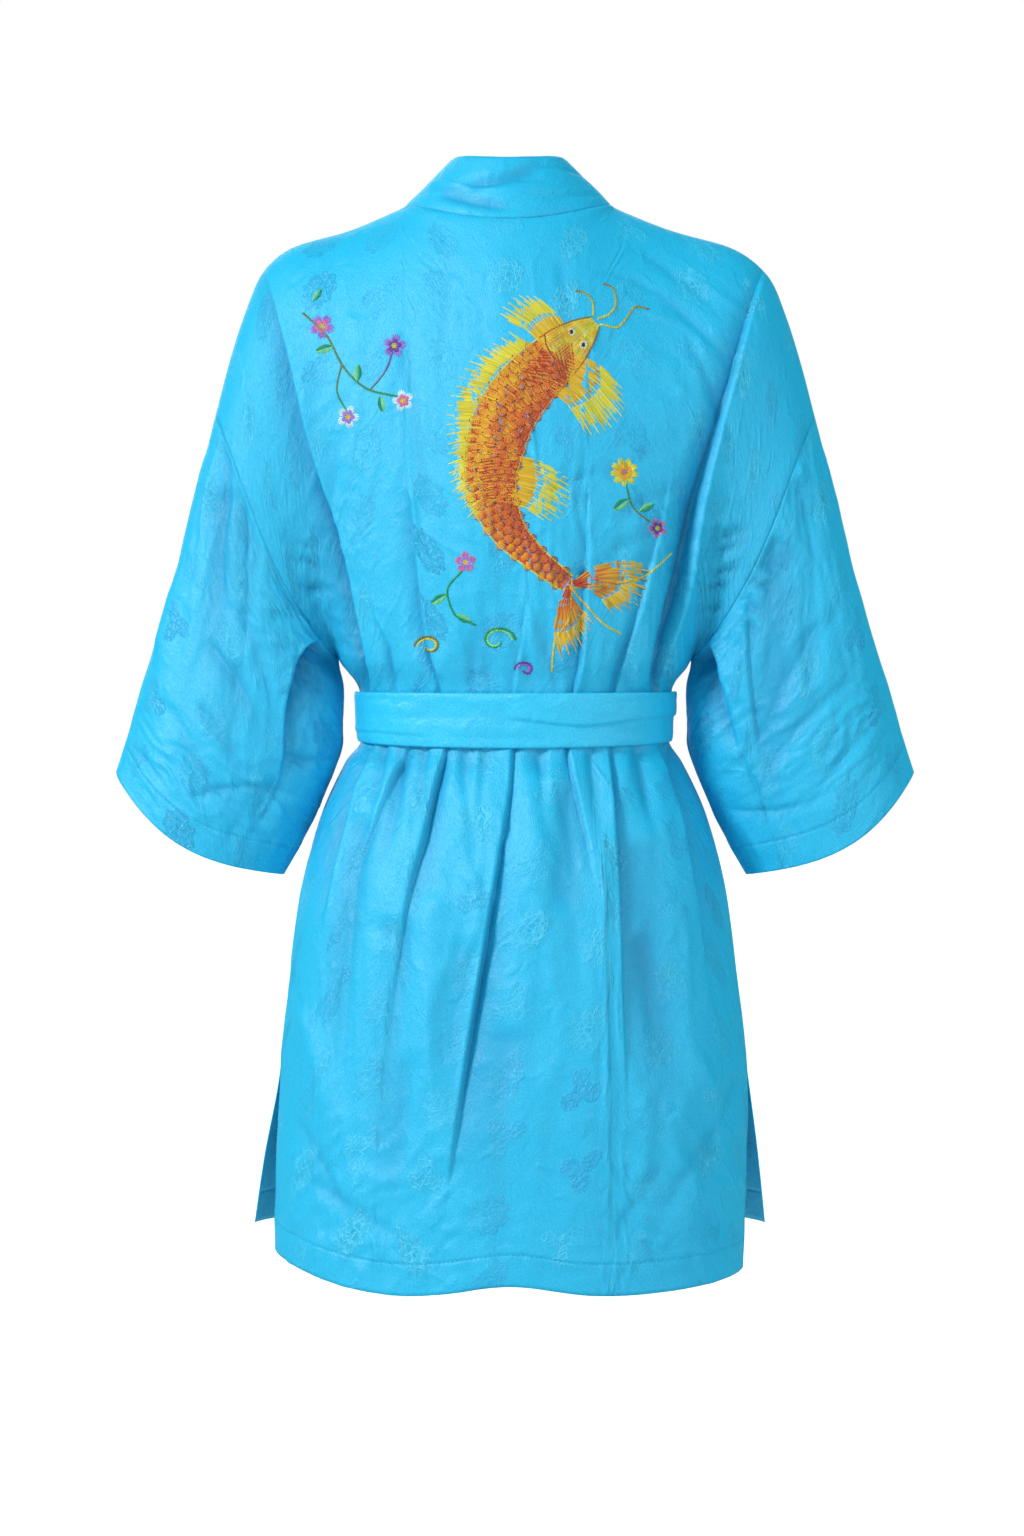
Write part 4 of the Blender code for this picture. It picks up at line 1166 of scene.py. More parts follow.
def koi_head():
    """Long stitches from the mouth to a bowed gill cord, gold to orange, and two eyes."""
    count = 17
    for i in range(count):
        across = (i + 0.5) / count * 2 - 1
        tone = between_colours(FLOSS_GOLD, FLOSS_AMBER, 0.9 * abs(across))
        for start, end in ((0.004, 0.06), (0.045, 0.11), (0.095, HEAD_END + 0.012 - GILL_BOW * across**2)):
            stitch(on_koi(start, across * 0.9), on_koi(end, across * 0.96), tone)
            tone = between_colours(tone, FLOSS_ORANGE, 0.42)
    gill = [on_koi(HEAD_END + 0.01 - GILL_BOW * (k / 3 - 1) ** 2, k / 3 - 1) for k in range(7)]
    cord(gill, FLOSS_DARK_RED, FLOSS_RED)
    for across, eye_height in ((0.52, 0.9), (-0.42, 0.81)):
        x, drop = on_koi(EYE_AT, across)
        for k in range(10):
            near, far = (about(x, drop, math.tau * k / 10, reach) for reach in EYE_RING)
            stitch(near, far, FLOSS_WHITE, 1.3, eye_height)
        for k in (-0.7, 0, 0.7):
            stitch((x - 1.5, drop + k * 1.4), (x + 1.5, drop + k * 1.4), FLOSS_BLACK, 1.4, 1.3)


def koi_padding():
    """Long stitches across the body, which the scales are worked over."""
    count = round(KOI_LENGTH / PADDING_PITCH)
    for i in range(count):
        share = mix(0.004, 0.996, i / (count - 1))
        tone = FLOSS_GOLD if share < HEAD_END else between_colours(FLOSS_RED, FLOSS_ORANGE, 0.5)
        for k in range(4):
            first, second = on_koi(share, k / 2 - 1), on_koi(share, (k + 1.15) / 2 - 1 if k < 3 else 1)
            stitch(first, second, tone, 1.7, 0.34)


koi_padding()
koi_scales()
koi_head()
for edge in (1, -1):
    outline = [on_koi(HEAD_END + (1 - HEAD_END) * k / 16, edge) for k in range(17)]
    cord(outline, FLOSS_GOLD if edge < 0 else FLOSS_ORANGE, FLOSS_GOLD, 1.3)
    cord([on_koi(0.16 * k / 6, edge) for k in range(7)], FLOSS_OLIVE, FLOSS_RED, 1.3)

# fins: the back fin, the pairs below, and the forked tail
fin_tones = (FLOSS_ORANGE, FLOSS_AMBER, FLOSS_GOLD)
low_fin_tones = (FLOSS_RED, FLOSS_AMBER, FLOSS_GOLD)
tail_tones = (FLOSS_RED, FLOSS_ORANGE, FLOSS_AMBER)
back_fin = ((-4, 112), (-38, 138), (-54, 180), (-52, 226), (-34, 262))
for shares, across, tips, tones, rays, bend in (
    ((0.25, 0.38, 0.52, 0.66), 1.0, back_fin, fin_tones, 46, -0.12),
    ((0.2, 0.25, 0.3), -0.7, ((84, 156), (86, 174), (74, 190), (56, 196)), low_fin_tones, 20, 0.16),
    ((0.15, 0.18, 0.21), 1.0, ((14, 84), (2, 84), (-10, 92), (-16, 102)), low_fin_tones, 14, -0.16),
    ((0.55, 0.6, 0.65), -0.9, ((42, 226), (46, 242), (38, 256), (26, 262)), low_fin_tones, 16, 0.14),
):
    fan([on_koi(share, across) for share in shares], tips, tones, rays, bend)
for acrosses, tips, rays, bend in (
    ((1, 0.4, 0), ((34, 366), (48, 360), (58, 346), (62, 332)), 14, -0.14),
    ((0, -0.4, -1), ((74, 330), (92, 326), (104, 312), (108, 290)), 16, 0.16),
):
    fan([on_koi(1.0, across) for across in acrosses], tips, tail_tones, rays, bend)
for places in (
    [on_koi(1.0, 0.8), (42, 330), (30, 352), (28, 374)],
    [on_koi(1.0, -0.8), (72, 306), (98, 300), (122, 280)],
    [on_koi(1.0, 0), (54, 322), (70, 338), (82, 344)],
):
    cord(places, FLOSS_AMBER, FLOSS_GOLD, 1.6)
for places in (
    [(63, 102), (72, 98), (78, 88), (76, 77), (68, 73)],
    [(65, 106), (78, 108), (86, 100), (94, 90), (104, 92)],
    [(60, 100), (60, 90), (54, 82), (46, 80)],
):
    cord(places, FLOSS_GOLD, FLOSS_OLIVE, 1.8)

# a branch of blossoms at the upper left, and sprays beside the koi and under it
cord([(-166, 92), (-146, 112), (-132, 138), (-112, 156), (-90, 162)], FLOSS_OLIVE, FLOSS_GREEN, 1.8)
cord([(-134, 134), (-138, 154), (-130, 172)], FLOSS_OLIVE, FLOSS_GREEN, 1.5)
cord([(-112, 156), (-100, 142), (-94, 126)], FLOSS_OLIVE, FLOSS_PURPLE, 1.4)
blossom(-150, 104, 11, FLOSS_PINK, FLOSS_LILAC, turn=0.3)
blossom(-93, 122, 10, FLOSS_PURPLE, FLOSS_LILAC, turn=1.1)
blossom(-86, 165, 9, FLOSS_PINK, FLOSS_WHITE, turn=0.7)
blossom(-129, 176, 9.5, FLOSS_LILAC, FLOSS_WHITE, turn=0.1)
for x, drop, length, angle in (
    (-140, 120, 15, 2.9), (-122, 150, 14, -1.5), (-104, 160, 13, 1.4), (-158, 84, 12, -1.0),
):
    leaf(x, drop, length, angle)
cord([(84, 226), (90, 246), (104, 258)], FLOSS_GREEN, FLOSS_OLIVE, 1.5)
blossom(84, 220, 12, FLOSS_AMBER, FLOSS_GOLD, petals=9, turn=0.2, heart=FLOSS_ORANGE)
blossom(110, 262, 8.5, FLOSS_PURPLE, FLOSS_PINK, turn=0.5)
leaf(88, 240, 15, 2.5)
leaf(95, 250, 13, -0.5)
cord([(-40, 296), (-52, 312), (-46, 330), (-30, 338)], FLOSS_GREEN, FLOSS_GREEN, 1.7)
blossom(-38, 290, 9, FLOSS_LILAC, FLOSS_PINK, turn=0.9)
leaf(-52, 314, 14, 2.6)
leaf(-46, 330, 13, 0.4)

# water curls towards the sash, each of two cords side by side, which wind in as they turn
for curl_x, curl_drop, size, way, outer_tone, inner_tone in (
    (-14, 350, 15, 1, FLOSS_GREEN, FLOSS_PALE_GREEN),
    (-66, 354, 12, -1, FLOSS_OLIVE, FLOSS_GOLD),
    (8, 372, 9, -1, FLOSS_PURPLE, FLOSS_LILAC),
):
    for start_size, tone in ((size, outer_tone), (size - 2.6, inner_tone)):
        places = []
        for k in range(15):
            turn = k * 0.42
            reach = start_size * (1 - 0.055 * k)
            places.append((curl_x + way * reach * math.cos(turn), curl_drop - 0.8 * reach * math.sin(turn)))
        cord(places, tone, tone, 1.7)

rows = np.array(stitches)
count = len(rows)
colours = rows[:, 6:9] * (1 + handwork.uniform(-COLOUR_SPREAD, COLOUR_SPREAD, (count, 1)))
back_surface = BVHTree.FromObject(back, bpy.context.evaluated_depsgraph_get())
places = np.empty((count, len(RING_SHARES), 3))
for i, (x0, d0, x1, d1) in enumerate(rows[:, :4]):
    for ring, share in enumerate(RING_SHARES):
        above = Vector((-mix(x0, x1, share) * MM, 0.3, -mix(d0, d1, share) * MM))
        places[i, ring] = back_surface.ray_cast(above, Vector((0, -1, 0)))[0] / MM
koi = strands("koi_embroidery", places, np.array([[0.0, 1.0, 0.0]]), rows[:, 4], rows[:, 5], colours, floss)
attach(koi, "root")


# The fronts: two panels sewn to the back along the shoulders and sides, the wearer's left one over the
# right. Nobody sees them in the picture, so they hang in plain gathers like those behind.
LAP = 4.5
LAP_FADE = (62, 100)
FLARE_IN = 15
FLARE_BACK = 9
# drop, the edge's x, the depth of the hollow on the left, on the right, the hollow's width
FRONT_LEFT_PLEATS = (
    (
        (40, 203, 0, 0, 10), (90, 188, 3, 0, 10), (190, 158, 7, 0, 11), (270, 139, 10, 0, 11),
        (333, 124, 11, 0, 9), (387, 114, 7, 0, 6), (424, 110, 4, 0, 5), (456, 120, 7, 0, 9),
        (500, 132, 6, 0, 13), (560, 143, 2, 0, 16), (620, 150, 0, 0, 16), (850, 160, 0, 0, 16),
    ),
    (
        (40, 122, 0, 0, 8), (220, 112, 0, 0, 8), (290, 104, 3, 0, 10), (345, 96, 5, 0, 9),
        (387, 88, 5, 0, 5), (430, 84, 0, 5, 4), (460, 87, 0, 8, 8), (510, 93, 0, 7, 12),
        (580, 101, 0, 4, 17), (660, 109, 0, 0, 20), (850, 118, 0, 0, 20),
    ),
    (
        (40, 96, 0, 0, 8), (300, 72, 0, 0, 8), (345, 67, 2, 0, 6), (387, 60, 4, 0, 4), (430, 57, 0, 5, 4),
        (470, 60, 0, 6, 7), (530, 65, 0, 5, 11), (620, 72, 0, 2, 16), (700, 78, 0, 0, 18),
        (850, 86, 0, 0, 18),
    ),
)
# the wearer's right front is gathered much the same way round the other side
FRONT_RIGHT_PLEATS = tuple(
    tuple((drop + 6, -0.97 * x, 1.1 * right, 1.1 * left, hollow) for drop, x, left, right, hollow in rows)
    for rows in FRONT_LEFT_PLEATS[::-1]
)
FRONT_PLAIN_COLUMNS = 91
FRONT_COLUMNS = 90
FRONT_ROWS = (88, 16, 8, 112)
FRONT_CREASES = (
    (80, 389, 98, 300, 2, 6, -3, 1.6, 0.2), (106, 389, 132, 290, 3, 7, -3, 1.6, 0),
    (-84, 389, -104, 310, -2, 6, -3, 1.6, 0.2), (-108, 389, -134, 300, -3, 7, -3, 1.6, 0),
    (90, 422, 110, 510, 3, 6, -3, 1.5, 0.3), (116, 422, 128, 500, -2, 5, -3, 1.4, 0),
    (-88, 422, -104, 520, 3, 6, -3, 1.5, -0.3), (-118, 422, -132, 496, 2, 5, -3, 1.4, 0),
    (60, 424, 70, 500, 2, 5, -2, 1.5, 0), (-56, 424, -64, 506, -2, 5, -2, 1.5, 0),
    (150, 600, 170, 740, 5, 12, 2.4, 1.9, 0), (-150, 610, -168, 750, -5, 12, 2.4, 1.9, 0),
    (110, 640, 118, 780, 3, 12, -2.4, 1.9, 0), (-112, 650, -120, 790, -3, 12, -2.2, 1.9, 0),
    (130, 120, 112, 230, -6, 7, -1.4, 1.6, 0), (-132, 118, -110, 240, 6, 7, -1.4, 1.6, 0),
    (160, 180, 140, 300, -5, 7, 2, 1.7, 0), (-162, 176, -140, 300, 5, 7, 2, 1.7, 0),
)
FRONT_CRUMPLES = (
    (128, 120, 55, 90, -30, 11, 34, 0.5), (-128, 130, 55, 90, 30, 11, 34, 0.5),
    (150, 330, 35, 45, 30, 8, 22, 0.7), (-150, 320, 35, 45, -30, 8, 22, 0.8),
    (120, 740, 70, 70, 35, 15, 44, 0.8), (-120, 730, 70, 70, -38, 15, 44, 0.8),
    (0, 610, 190, 170, 2, 22, 90, 0.9),
)


def lap_at(side, x):
    """The wearer's left front rises over the right one where they cross."""
    return LAP * (1 - rise(*LAP_FADE, x)) if side > 0 else 0 * x


def front_point(side, share, v, extend=0.0):
    """A point on a front. Below the slit its loose side edge turns outwards."""
    point = panel_point(side, share, v, "front", extend)
    point[..., 1] -= lap_at(side, point[..., 0])
    loose = rise(SLIT_DROP - 10, FRONT_HEM_DROP, -point[..., 2]) * (side * point[..., 0] > 0)
    point[..., 0] -= side * FLARE_IN * loose * np.exp(-(((point[..., 1] + 32) / 20) ** 2))
    point[..., 1] += FLARE_BACK * loose * rise(-30, 0, point[..., 1])
    return point


for side_name, side, pleats in (("left", 1, FRONT_LEFT_PLEATS), ("right", -1, FRONT_RIGHT_PLEATS)):
    share, v = np.meshgrid(np.linspace(0, 1, FRONT_PLAIN_COLUMNS), even_rows(*FRONT_ROWS))
    # the columns are taken from the wearer's left to the right, then put back in order from the opening
    points, share = along_edges(front_point(side, share, v)[:, ::-side], pleats, FRONT_COLUMNS)
    points, share = points[:, ::-side], share[:, ::-side] / (FRONT_PLAIN_COLUMNS - 1)
    share = 1 - share if side > 0 else share
    v = v[:, :1] + 0 * share
    drop = -points[..., 2]
    near_belt = np.maximum(np.maximum(BELT_TOP - drop, drop - BELT_BOTTOM), 0)
    calm = np.where(v > 1, 1 - rise(0.9, 1, share), 1 - rise(*CALM_SIDE, share)) * rise(*CALM_TOP, v)
    calm = calm * rise(0, 0.12, share)
    pleated = pleat_push(pleats, points[..., 0], drop)
    pleated = pleated * (1 - rise(*PLEATS_CALM, share)) * rise(*CALM_TOP, v)
    points, hollow_shade = settled(points, side, (), FRONT_CREASES, FRONT_CRUMPLES, calm, near_belt, pleated)
    to_hem = to_last_row(points)
    points += outward_of(points, side) * (hem_ripple(share * 15, to_hem, 9) * calm)[..., None]
    # the hem line for the bump's groove, and the mask of painted shade in the hollows
    marks = (("hem", to_hem - HEM_DEEP), ("hollow", hollow_shade))
    front = cloth_piece("front_" + side_name + "_panel", points, side, robe_silk, marks=marks, middle=0)
    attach(front, "root")
    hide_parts("front_" + side_name)
    to_side = to_last_row(np.swapaxes(points, 0, 1))
    below_slit = -points[..., 2].mean(1) > SLIT_DROP + SLIT_CLEAR
    slit_part = np.swapaxes(points[below_slit], 0, 1)
    lines = [
        line_on(points[:, 1:-1], side, to_hem[:, 1:-1], HEM_DEEP),
        line_on(slit_part, -side, to_side[:, below_slit], SLIT_HEM),
    ]
    front_sewing = sewn("front_" + side_name + "_sewing", lines, floss)
    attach(front_sewing, "root")


# The sleeves: each a wide tube, sewn to the dropped armhole and widening to the cuff. They hang open and
# nearly flat, with long soft folds from the shoulder and small crumples low down, and turned cuff hems.
UNDERARM_CLEAR = 2.2
CUFF_DEEP = 24
SLEEVE_LENGTH = 330
# height of the puckers at the armhole seam and how far from it they fade, and of the sleeve's broad waves
SEAM_PUCKERS = 0.9
PUCKER_FADE = 11
SLEEVE_WAVES = 0.7
# folds stand lower on the front face, and its crumples and the right sleeve's lie elsewhere
FRONT_FACE = 0.8
CRUMPLES_OUT = 17
CRUMPLES_UP = 40
# drop, the edge's x, the depth of the hollow on the left, on the right, the hollow's width
LEFT_SLEEVE_PLEATS = (
    (
        (160, 209, 2, 0, 12), (222, 208, 3, 0, 14), (285, 207, 2.5, 0, 14), (347, 208.5, 1, 0, 12),
        (400, 216, 0, 0, 12), (540, 240, 0, 0, 12),
    ),
    (
        (330, 152, 0, 8, 16), (345, 153, 0, 12, 22), (350, 162, 0, 14, 24), (363, 170, 0, 14, 25),
        (386, 176.5, 0, 10, 26), (410, 180.5, 0, 6, 24), (430, 181.5, 0, 5, 18), (447, 184, 0, 3, 14),
        (475, 192, 0, 0, 14), (540, 212, 0, 0, 14),
    ),
)
RIGHT_SLEEVE_PLEATS = (
    (
        (330, -152, 8, 0, 14), (347, -153, 12, 0, 18), (356, -157, 13, 0, 20), (378, -162, 9, 0, 22),
        (398, -167, 5, 0, 22), (418, -172, 3, 0, 18), (440, -178, 0, 0, 14), (540, -208, 0, 0, 14),
    ),
    (
        (250, -178, 0, 0, 8), (300, -178, 0, 2, 8), (350, -180, 0, 3.5, 9), (400, -184, 0, 3, 9),
        (450, -192, 0, 0, 9), (540, -220, 0, 0, 9),
    ),
)
SLEEVE_PLAIN_COLUMNS = 89
SLEEVE_COLUMNS = 105
SLEEVE_ROWS = 132
# the soft folds of each sleeve, then its smaller creases
LEFT_SLEEVE_FOLDS = (
    (230, 225, 236, 420, 3, 13, -3.5, 2, 0), (262, 300, 282, 440, 4, 14, 2.5, 2, 0),
    (214, 360, 226, 455, 2, 9, -3, 1.8, 0), (184, 438, 146, 441, 2, 5, -4, 1.5, 0.2),
    (256, 470, 160, 473, -10, 4, -2.6, 1.2, 0.4), (184, 449, 213, 503, 0, 3.5, -2.0, 1.2, 0.4),
    (222, 182, 230, 355, 4.8, 8, -3.4, 1.7, 0.2), (198, 212, 206, 347, 3.2, 7, -3, 1.6, 0),
    (242, 347, 184, 450, -6.4, 6, -3.2, 1.5, 0.2), (217, 316, 181, 444, -4.8, 6, -3, 1.5, 0),
    (168, 347, 178, 442, 3.2, 6, -2.6, 1.5, 0), (266, 284, 286, 410, 4, 9, 2.2, 1.9, 0),
    (253, 394, 198, 477, -4.8, 5, -2.2, 1.4, 0), (286, 386, 230, 482, -6.4, 6, -1.8, 1.5, 0),
    (156, 399, 143, 435, -2.4, 4, -1.2, 1.3, 0), (183, 457, 212, 505, -2.4, 4, -1.8, 1.4, 0),
    (176, 363, 151, 394, -2.4, 5, -2.4, 1.5, 0), (236, 253, 250, 347, 3.2, 6, 1.6, 1.8, 0),
    (263, 429, 212, 493, -4, 4, -1.6, 1.4, 0), (302, 432, 266, 477, -4, 5, -1.5, 1.4, 0),
)
RIGHT_SLEEVE_FOLDS = (
    (-206, 270, -196, 478, -4, 14, -4.5, 2, 0), (-236, 250, -246, 430, -3, 14, 2.5, 2, 0),
    (-228, 300, -232, 440, -2, 9, -2, 1.8, 0), (-168, 480, -252, 462, 8, 4, -2.4, 1.2, 0.4),
    (-175, 432, -196, 506, -3, 4, -1.8, 1.2, 0.3),
    (-222, 217, -236, 353, -4.8, 8, -3.4, 1.7, 0.2), (-198, 262, -194, 356, -2.4, 7, -3, 1.6, 0),
    (-256, 284, -277, 395, -4, 8, 2.4, 1.9, 0), (-269, 375, -186, 466, 7.2, 6, -2.8, 1.5, 0.2),
    (-241, 330, -184, 449, 4.8, 6, -3, 1.5, 0), (-194, 268, -220, 276, -1.6, 3.5, -2.6, 1.4, 0),
    (-186, 284, -214, 294, 1.6, 3.5, -3.2, 1.4, 0), (-178, 300, -208, 312, -1.6, 3.5, -3.4, 1.4, 0),
    (-171, 314, -202, 328, 1.6, 3.5, -3.4, 1.4, 0), (-163, 328, -193, 344, -1.6, 3.5, -3.2, 1.4, 0),
    (-156, 341, -184, 358, 1.6, 3.5, -3, 1.4, 0), (-286, 410, -226, 482, 4.8, 5, -2, 1.4, 0),
    (-145, 347, -179, 441, 4.8, 6, -2.6, 1.5, 0), (-180, 394, -216, 511, -3.2, 5, -1.8, 1.5, 0),
    (-255, 316, -216, 441, 6.4, 5, -1.6, 1.5, 0), (-294, 394, -264, 460, 3.2, 5, 1.6, 1.6, 0),
    (-200, 347, -189, 410, 0, 5, -1.8, 1.4, 0),
)
SLEEVE_CRUMPLES = (
    (200, 470, 55, 46, 48, 7, 34, 1.2), (270, 450, 50, 46, 38, 7, 34, 1.1),
    (165, 400, 26, 60, -15, 8, 38, 1.0), (225, 340, 55, 100, -10, 11, 80, 1.1),
    (240, 240, 45, 80, -6, 10, 80, 1.0), (176, 320, 26, 46, 76, 6, 22, 1.4),
)

for side_name, side, pleats, folds in (
    ("left", 1, LEFT_SLEEVE_PLEATS, LEFT_SLEEVE_FOLDS),
    ("right", -1, RIGHT_SLEEVE_PLEATS, RIGHT_SLEEVE_FOLDS),
):
    turn, share = np.meshgrid(np.linspace(180, 0, SLEEVE_PLAIN_COLUMNS), np.linspace(0, 1, SLEEVE_ROWS))
    clear = side * UNDERARM_CLEAR * rise(110, 180, turn) * rise(0, 0.1, share)
    clear = points_of(clear, 0, 0)
    hind, fore = (sleeve_point(side, turn, share, behind) + clear for behind in (True, False))
    # the columns are taken from the wearer's left to the right, then put back in order from the underarm
    hind, at = along_edges(hind[:, ::-side], pleats, SLEEVE_COLUMNS)
    at = (at if side > 0 else SLEEVE_PLAIN_COLUMNS - 1 - at) * 180 / (SLEEVE_PLAIN_COLUMNS - 1)
    points = np.concatenate([hind[:, ::-side], fore[:, -2::-1]], 1)
    full_turn = np.concatenate([at[:, ::-side], -turn[:, -2::-1]], 1)
    share = share[:, :1] + 0 * full_turn
    turn, behind = np.abs(full_turn), full_turn >= 0
    x, drop = points[..., 0], -points[..., 2]
    on_face = rise(0, 24, turn) * rise(0, 14, 180 - turn) * rise(0, 0.04, share)
    small = (pleat_push(pleats, x, drop) + fold_push(folds, x, drop)) * np.where(behind, 1, FRONT_FACE)
    # the mask of painted shade in the hollows of the sleeve's pleats and folds
    hollow_shade = hollow_shade_of(small * on_face)
    mirrored = side * x + np.where(behind, 0, CRUMPLES_OUT)
    small += crumple_push(SLEEVE_CRUMPLES, mirrored, drop + (CRUMPLES_UP if side < 0 else 0))
    to_cuff = to_last_row(points)
    small += hem_ripple(turn / 6, to_cuff, 12, CUFF_DEEP)
    small *= on_face
    from_seam = share * SLEEVE_LENGTH
    puckers = uneven(full_turn / 5.5, from_seam / 40, 14)
    small += SEAM_PUCKERS * puckers * np.exp(-from_seam / PUCKER_FADE) * rise(0, 4, from_seam)
    small += SLEEVE_WAVES * uneven(full_turn / 30 + 7, from_seam / 26, 15) * rise(0, 0.1, share)
    points += outward_of(points, -side) * small[..., None]
    # the cuff's hem line for the bump's groove, and the mask of painted shade
    marks = (("hem", to_cuff - CUFF_DEEP), ("hollow", hollow_shade))
    sleeve = cloth_piece("sleeve_" + side_name + "_tube", points, -side, robe_silk, marks=marks, close=True)
    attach(sleeve, "root")
    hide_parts("sleeve_" + side_name)
    cuff_sewing = sewn("cuff_" + side_name + "_sewing", [line_on(points, -side, to_cuff, CUFF_DEEP)], floss)
    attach(cuff_sewing, "root")
    panels = ["back_panel", "front_" + side_name + "_panel"]


# The neckband: one long strip of plain silk, folded double and sewn over the neck edge and down both
# fronts. It stands up round the back of the neck, with soft diagonal folds, and lies flat further down.
COLLAR_HALF = 45
COLLAR_BACK = 49
COLLAR_RISE = 31
COLLAR_SIDE_RISE = 7
COLLAR_BULGE = 3
BAND_LIES = 0.6
BAND_WALL = 1.3
BAND_COLUMNS = 29
BAND_ROWS = (100, 16, 10, 118)
COLLAR_ROWS = 33
BAND_EDGE = 1.6
BAND_EDGES_IN = (0.8, 0.5)
FOLD_SHADE = 0.4
# start angle and share of the width, the end's, width in mm, depth
COLLAR_FOLDS = (
    (34, 0.46, -34, 0.86, 6.0, -4.8), (48, 0.32, -6, 0.16, 5.2, -4.4), (66, 0.47, -44, 0.46, 1.8, 1.6),
    (66, 0.36, 34, 0.42, 1.8, -1.4), (-6, 0.62, -34, 0.56, 1.8, -1.6), (-28, 0.85, -80, 0.62, 2.6, -1.6),
    (-18, 0.32, -70, 0.20, 2.6, -1.4),
)


def collar_point(angle, width_share, side):
    """The neckband where it stands round the back of the neck. The angle is 0 at the middle of the back."""
    turn = np.radians(angle)
    base = top_point(NECK_SHARE * angle / 90, "back")
    rise_here = COLLAR_RISE + COLLAR_SIDE_RISE * np.sin(turn) ** 2
    tip = points_of(COLLAR_HALF * np.sin(turn), COLLAR_BACK * np.cos(turn), rise_here)
    point = mix(base, tip, width_share[..., None])
    point[..., 1] += COLLAR_BULGE * np.cos(turn) * np.sin(math.pi * width_share)
    point[..., 0] = side * point[..., 0] + NECK_LEAN
    return point


def band_point(side, v, width_share):
    """The neckband along a front's edge."""
    base = front_point(side, 0 * v, v)
    flat = front_point(side, 0 * v, v, BAND_WIDTH * width_share)
    standing = 1 - rise(0, BAND_LIES, v)[..., None]
    at_neck = np.full_like(v, 90.0)
    stand = collar_point(at_neck, np.ones_like(v), side) - collar_point(at_neck, np.zeros_like(v), side)
    reach = mix(flat - base, stand * width_share[..., None], standing)
    length = np.maximum(np.linalg.norm(reach, axis=-1, keepdims=True), 1e-6)
    even = reach / length * BAND_WIDTH * width_share[..., None]
    return base + np.where(standing > 0, even, flat - base)


band_shares = np.linspace(0, 1, BAND_COLUMNS)
half_strips = []
for side in (1, -1):
    share, v = np.meshgrid(band_shares, even_rows(*BAND_ROWS)[::-1])
    strip = band_point(side, v, share)
    share, angle = np.meshgrid(band_shares, np.linspace(90, 0, COLLAR_ROWS + 1)[1:])
    half_strips.append(np.concatenate([strip, collar_point(angle, share, side)], 0))
points = np.concatenate([half_strips[0], half_strips[1][-2::-1]], 0)
share, along = np.meshgrid(band_shares, np.arange(len(points)) - (len(half_strips[0]) - 1))
angle = -along * 90 / COLLAR_ROWS
push = np.zeros_like(share)
for start_angle, start_share, end_angle, end_share, width, depth in COLLAR_FOLDS:
    run_angle, run_up = end_angle - start_angle, (end_share - start_share) * BAND_WIDTH
    t = np.clip((angle - start_angle) / run_angle, -0.2, 1.2)
    off = (share - start_share) * BAND_WIDTH - t * run_up
    push += depth * np.exp(-((off / width) ** 2)) * rise(-0.15, 0.2, t) * (1 - rise(0.6, 1.15, t))
# painted shade in the hollows of the collar's folds, no darker than FOLD_SHADE
fold_shade_mask = np.clip((-push - SHADE_FROM_DEPTH) / SHADE_FULL_DEPTH, 0, FOLD_SHADE)
push += 0.5 * uneven(along / 9, share * 3, 21)
for edge_in, from_edge in zip(BAND_EDGES_IN, (share * BAND_WIDTH, (1 - share) * BAND_WIDTH)):
    push -= edge_in * np.exp(-from_edge / BAND_EDGE)
points += outward_of(points, 1) * push[..., None]
band_silk = silk("neckband silk", ROBE_BLUE, ROBE_DEEP, ROBE_LIGHT, figured=0.35, roughness=0.52)
# its hollow attribute carries the painted shade of the collar's folds
neckband = cloth_piece("neckband_strip", points, 1, band_silk, wall=BAND_WALL, marks=(("hollow", fold_shade_mask),))
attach(neckband, "root")
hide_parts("neckband")


# The sash: a long folded band of the same silk, tied round the waist over the robe. It sags a little
# behind, with a tuck where it was drawn tight, and crinkles towards the sides.
BELT_CLEAR = 3.0
BELT_WALL = 1.5
BELT_OVER_LAP = LAP + 1
BELT_HIGH = 42
BELT_EDGE = 1.5
BELT_EDGES_IN = 0.9
BELT_COLUMNS = 321
BELT_ROWS = 37
# drop of the tuck's edge at each x, from the wearer's right to the left
TUCK_RIGHT = ((-128, 404), (-88, 410), (-50, 414.5), (-20, 412), (10, 408))
TUCK_LEFT = ((60, 422.5), (92, 420), (124, 417))
BELT_CREASES = (
    (-124, 392, -60, 399, 1, 3, -0.8, 1.4, 0), (-118, 417, -70, 421, 1, 3, -0.7, 1.4, 0),
    (122, 393, 66, 397, -1, 3, -0.8, 1.4, 0), (118, 404, 40, 410, 1, 4, -0.6, 1.5, 0),
    (60, 392, -20, 394, 1, 4, 0.5, 1.6, 0), (30, 424, -36, 426, 0, 4, -0.5, 1.5, 0),
    (-20, 400, -84, 402, 1, 5, 0.6, 1.8, 0), (-112, 388, -120, 420, 1, 3, -0.9, 1.4, 0),
    (-103, 390, -108, 412, -1, 3, -0.6, 1.4, 0), (113, 388, 118, 418, 1, 3, -0.9, 1.4, 0),
    (104, 394, 106, 420, 1, 3, -0.6, 1.4, 0),
)


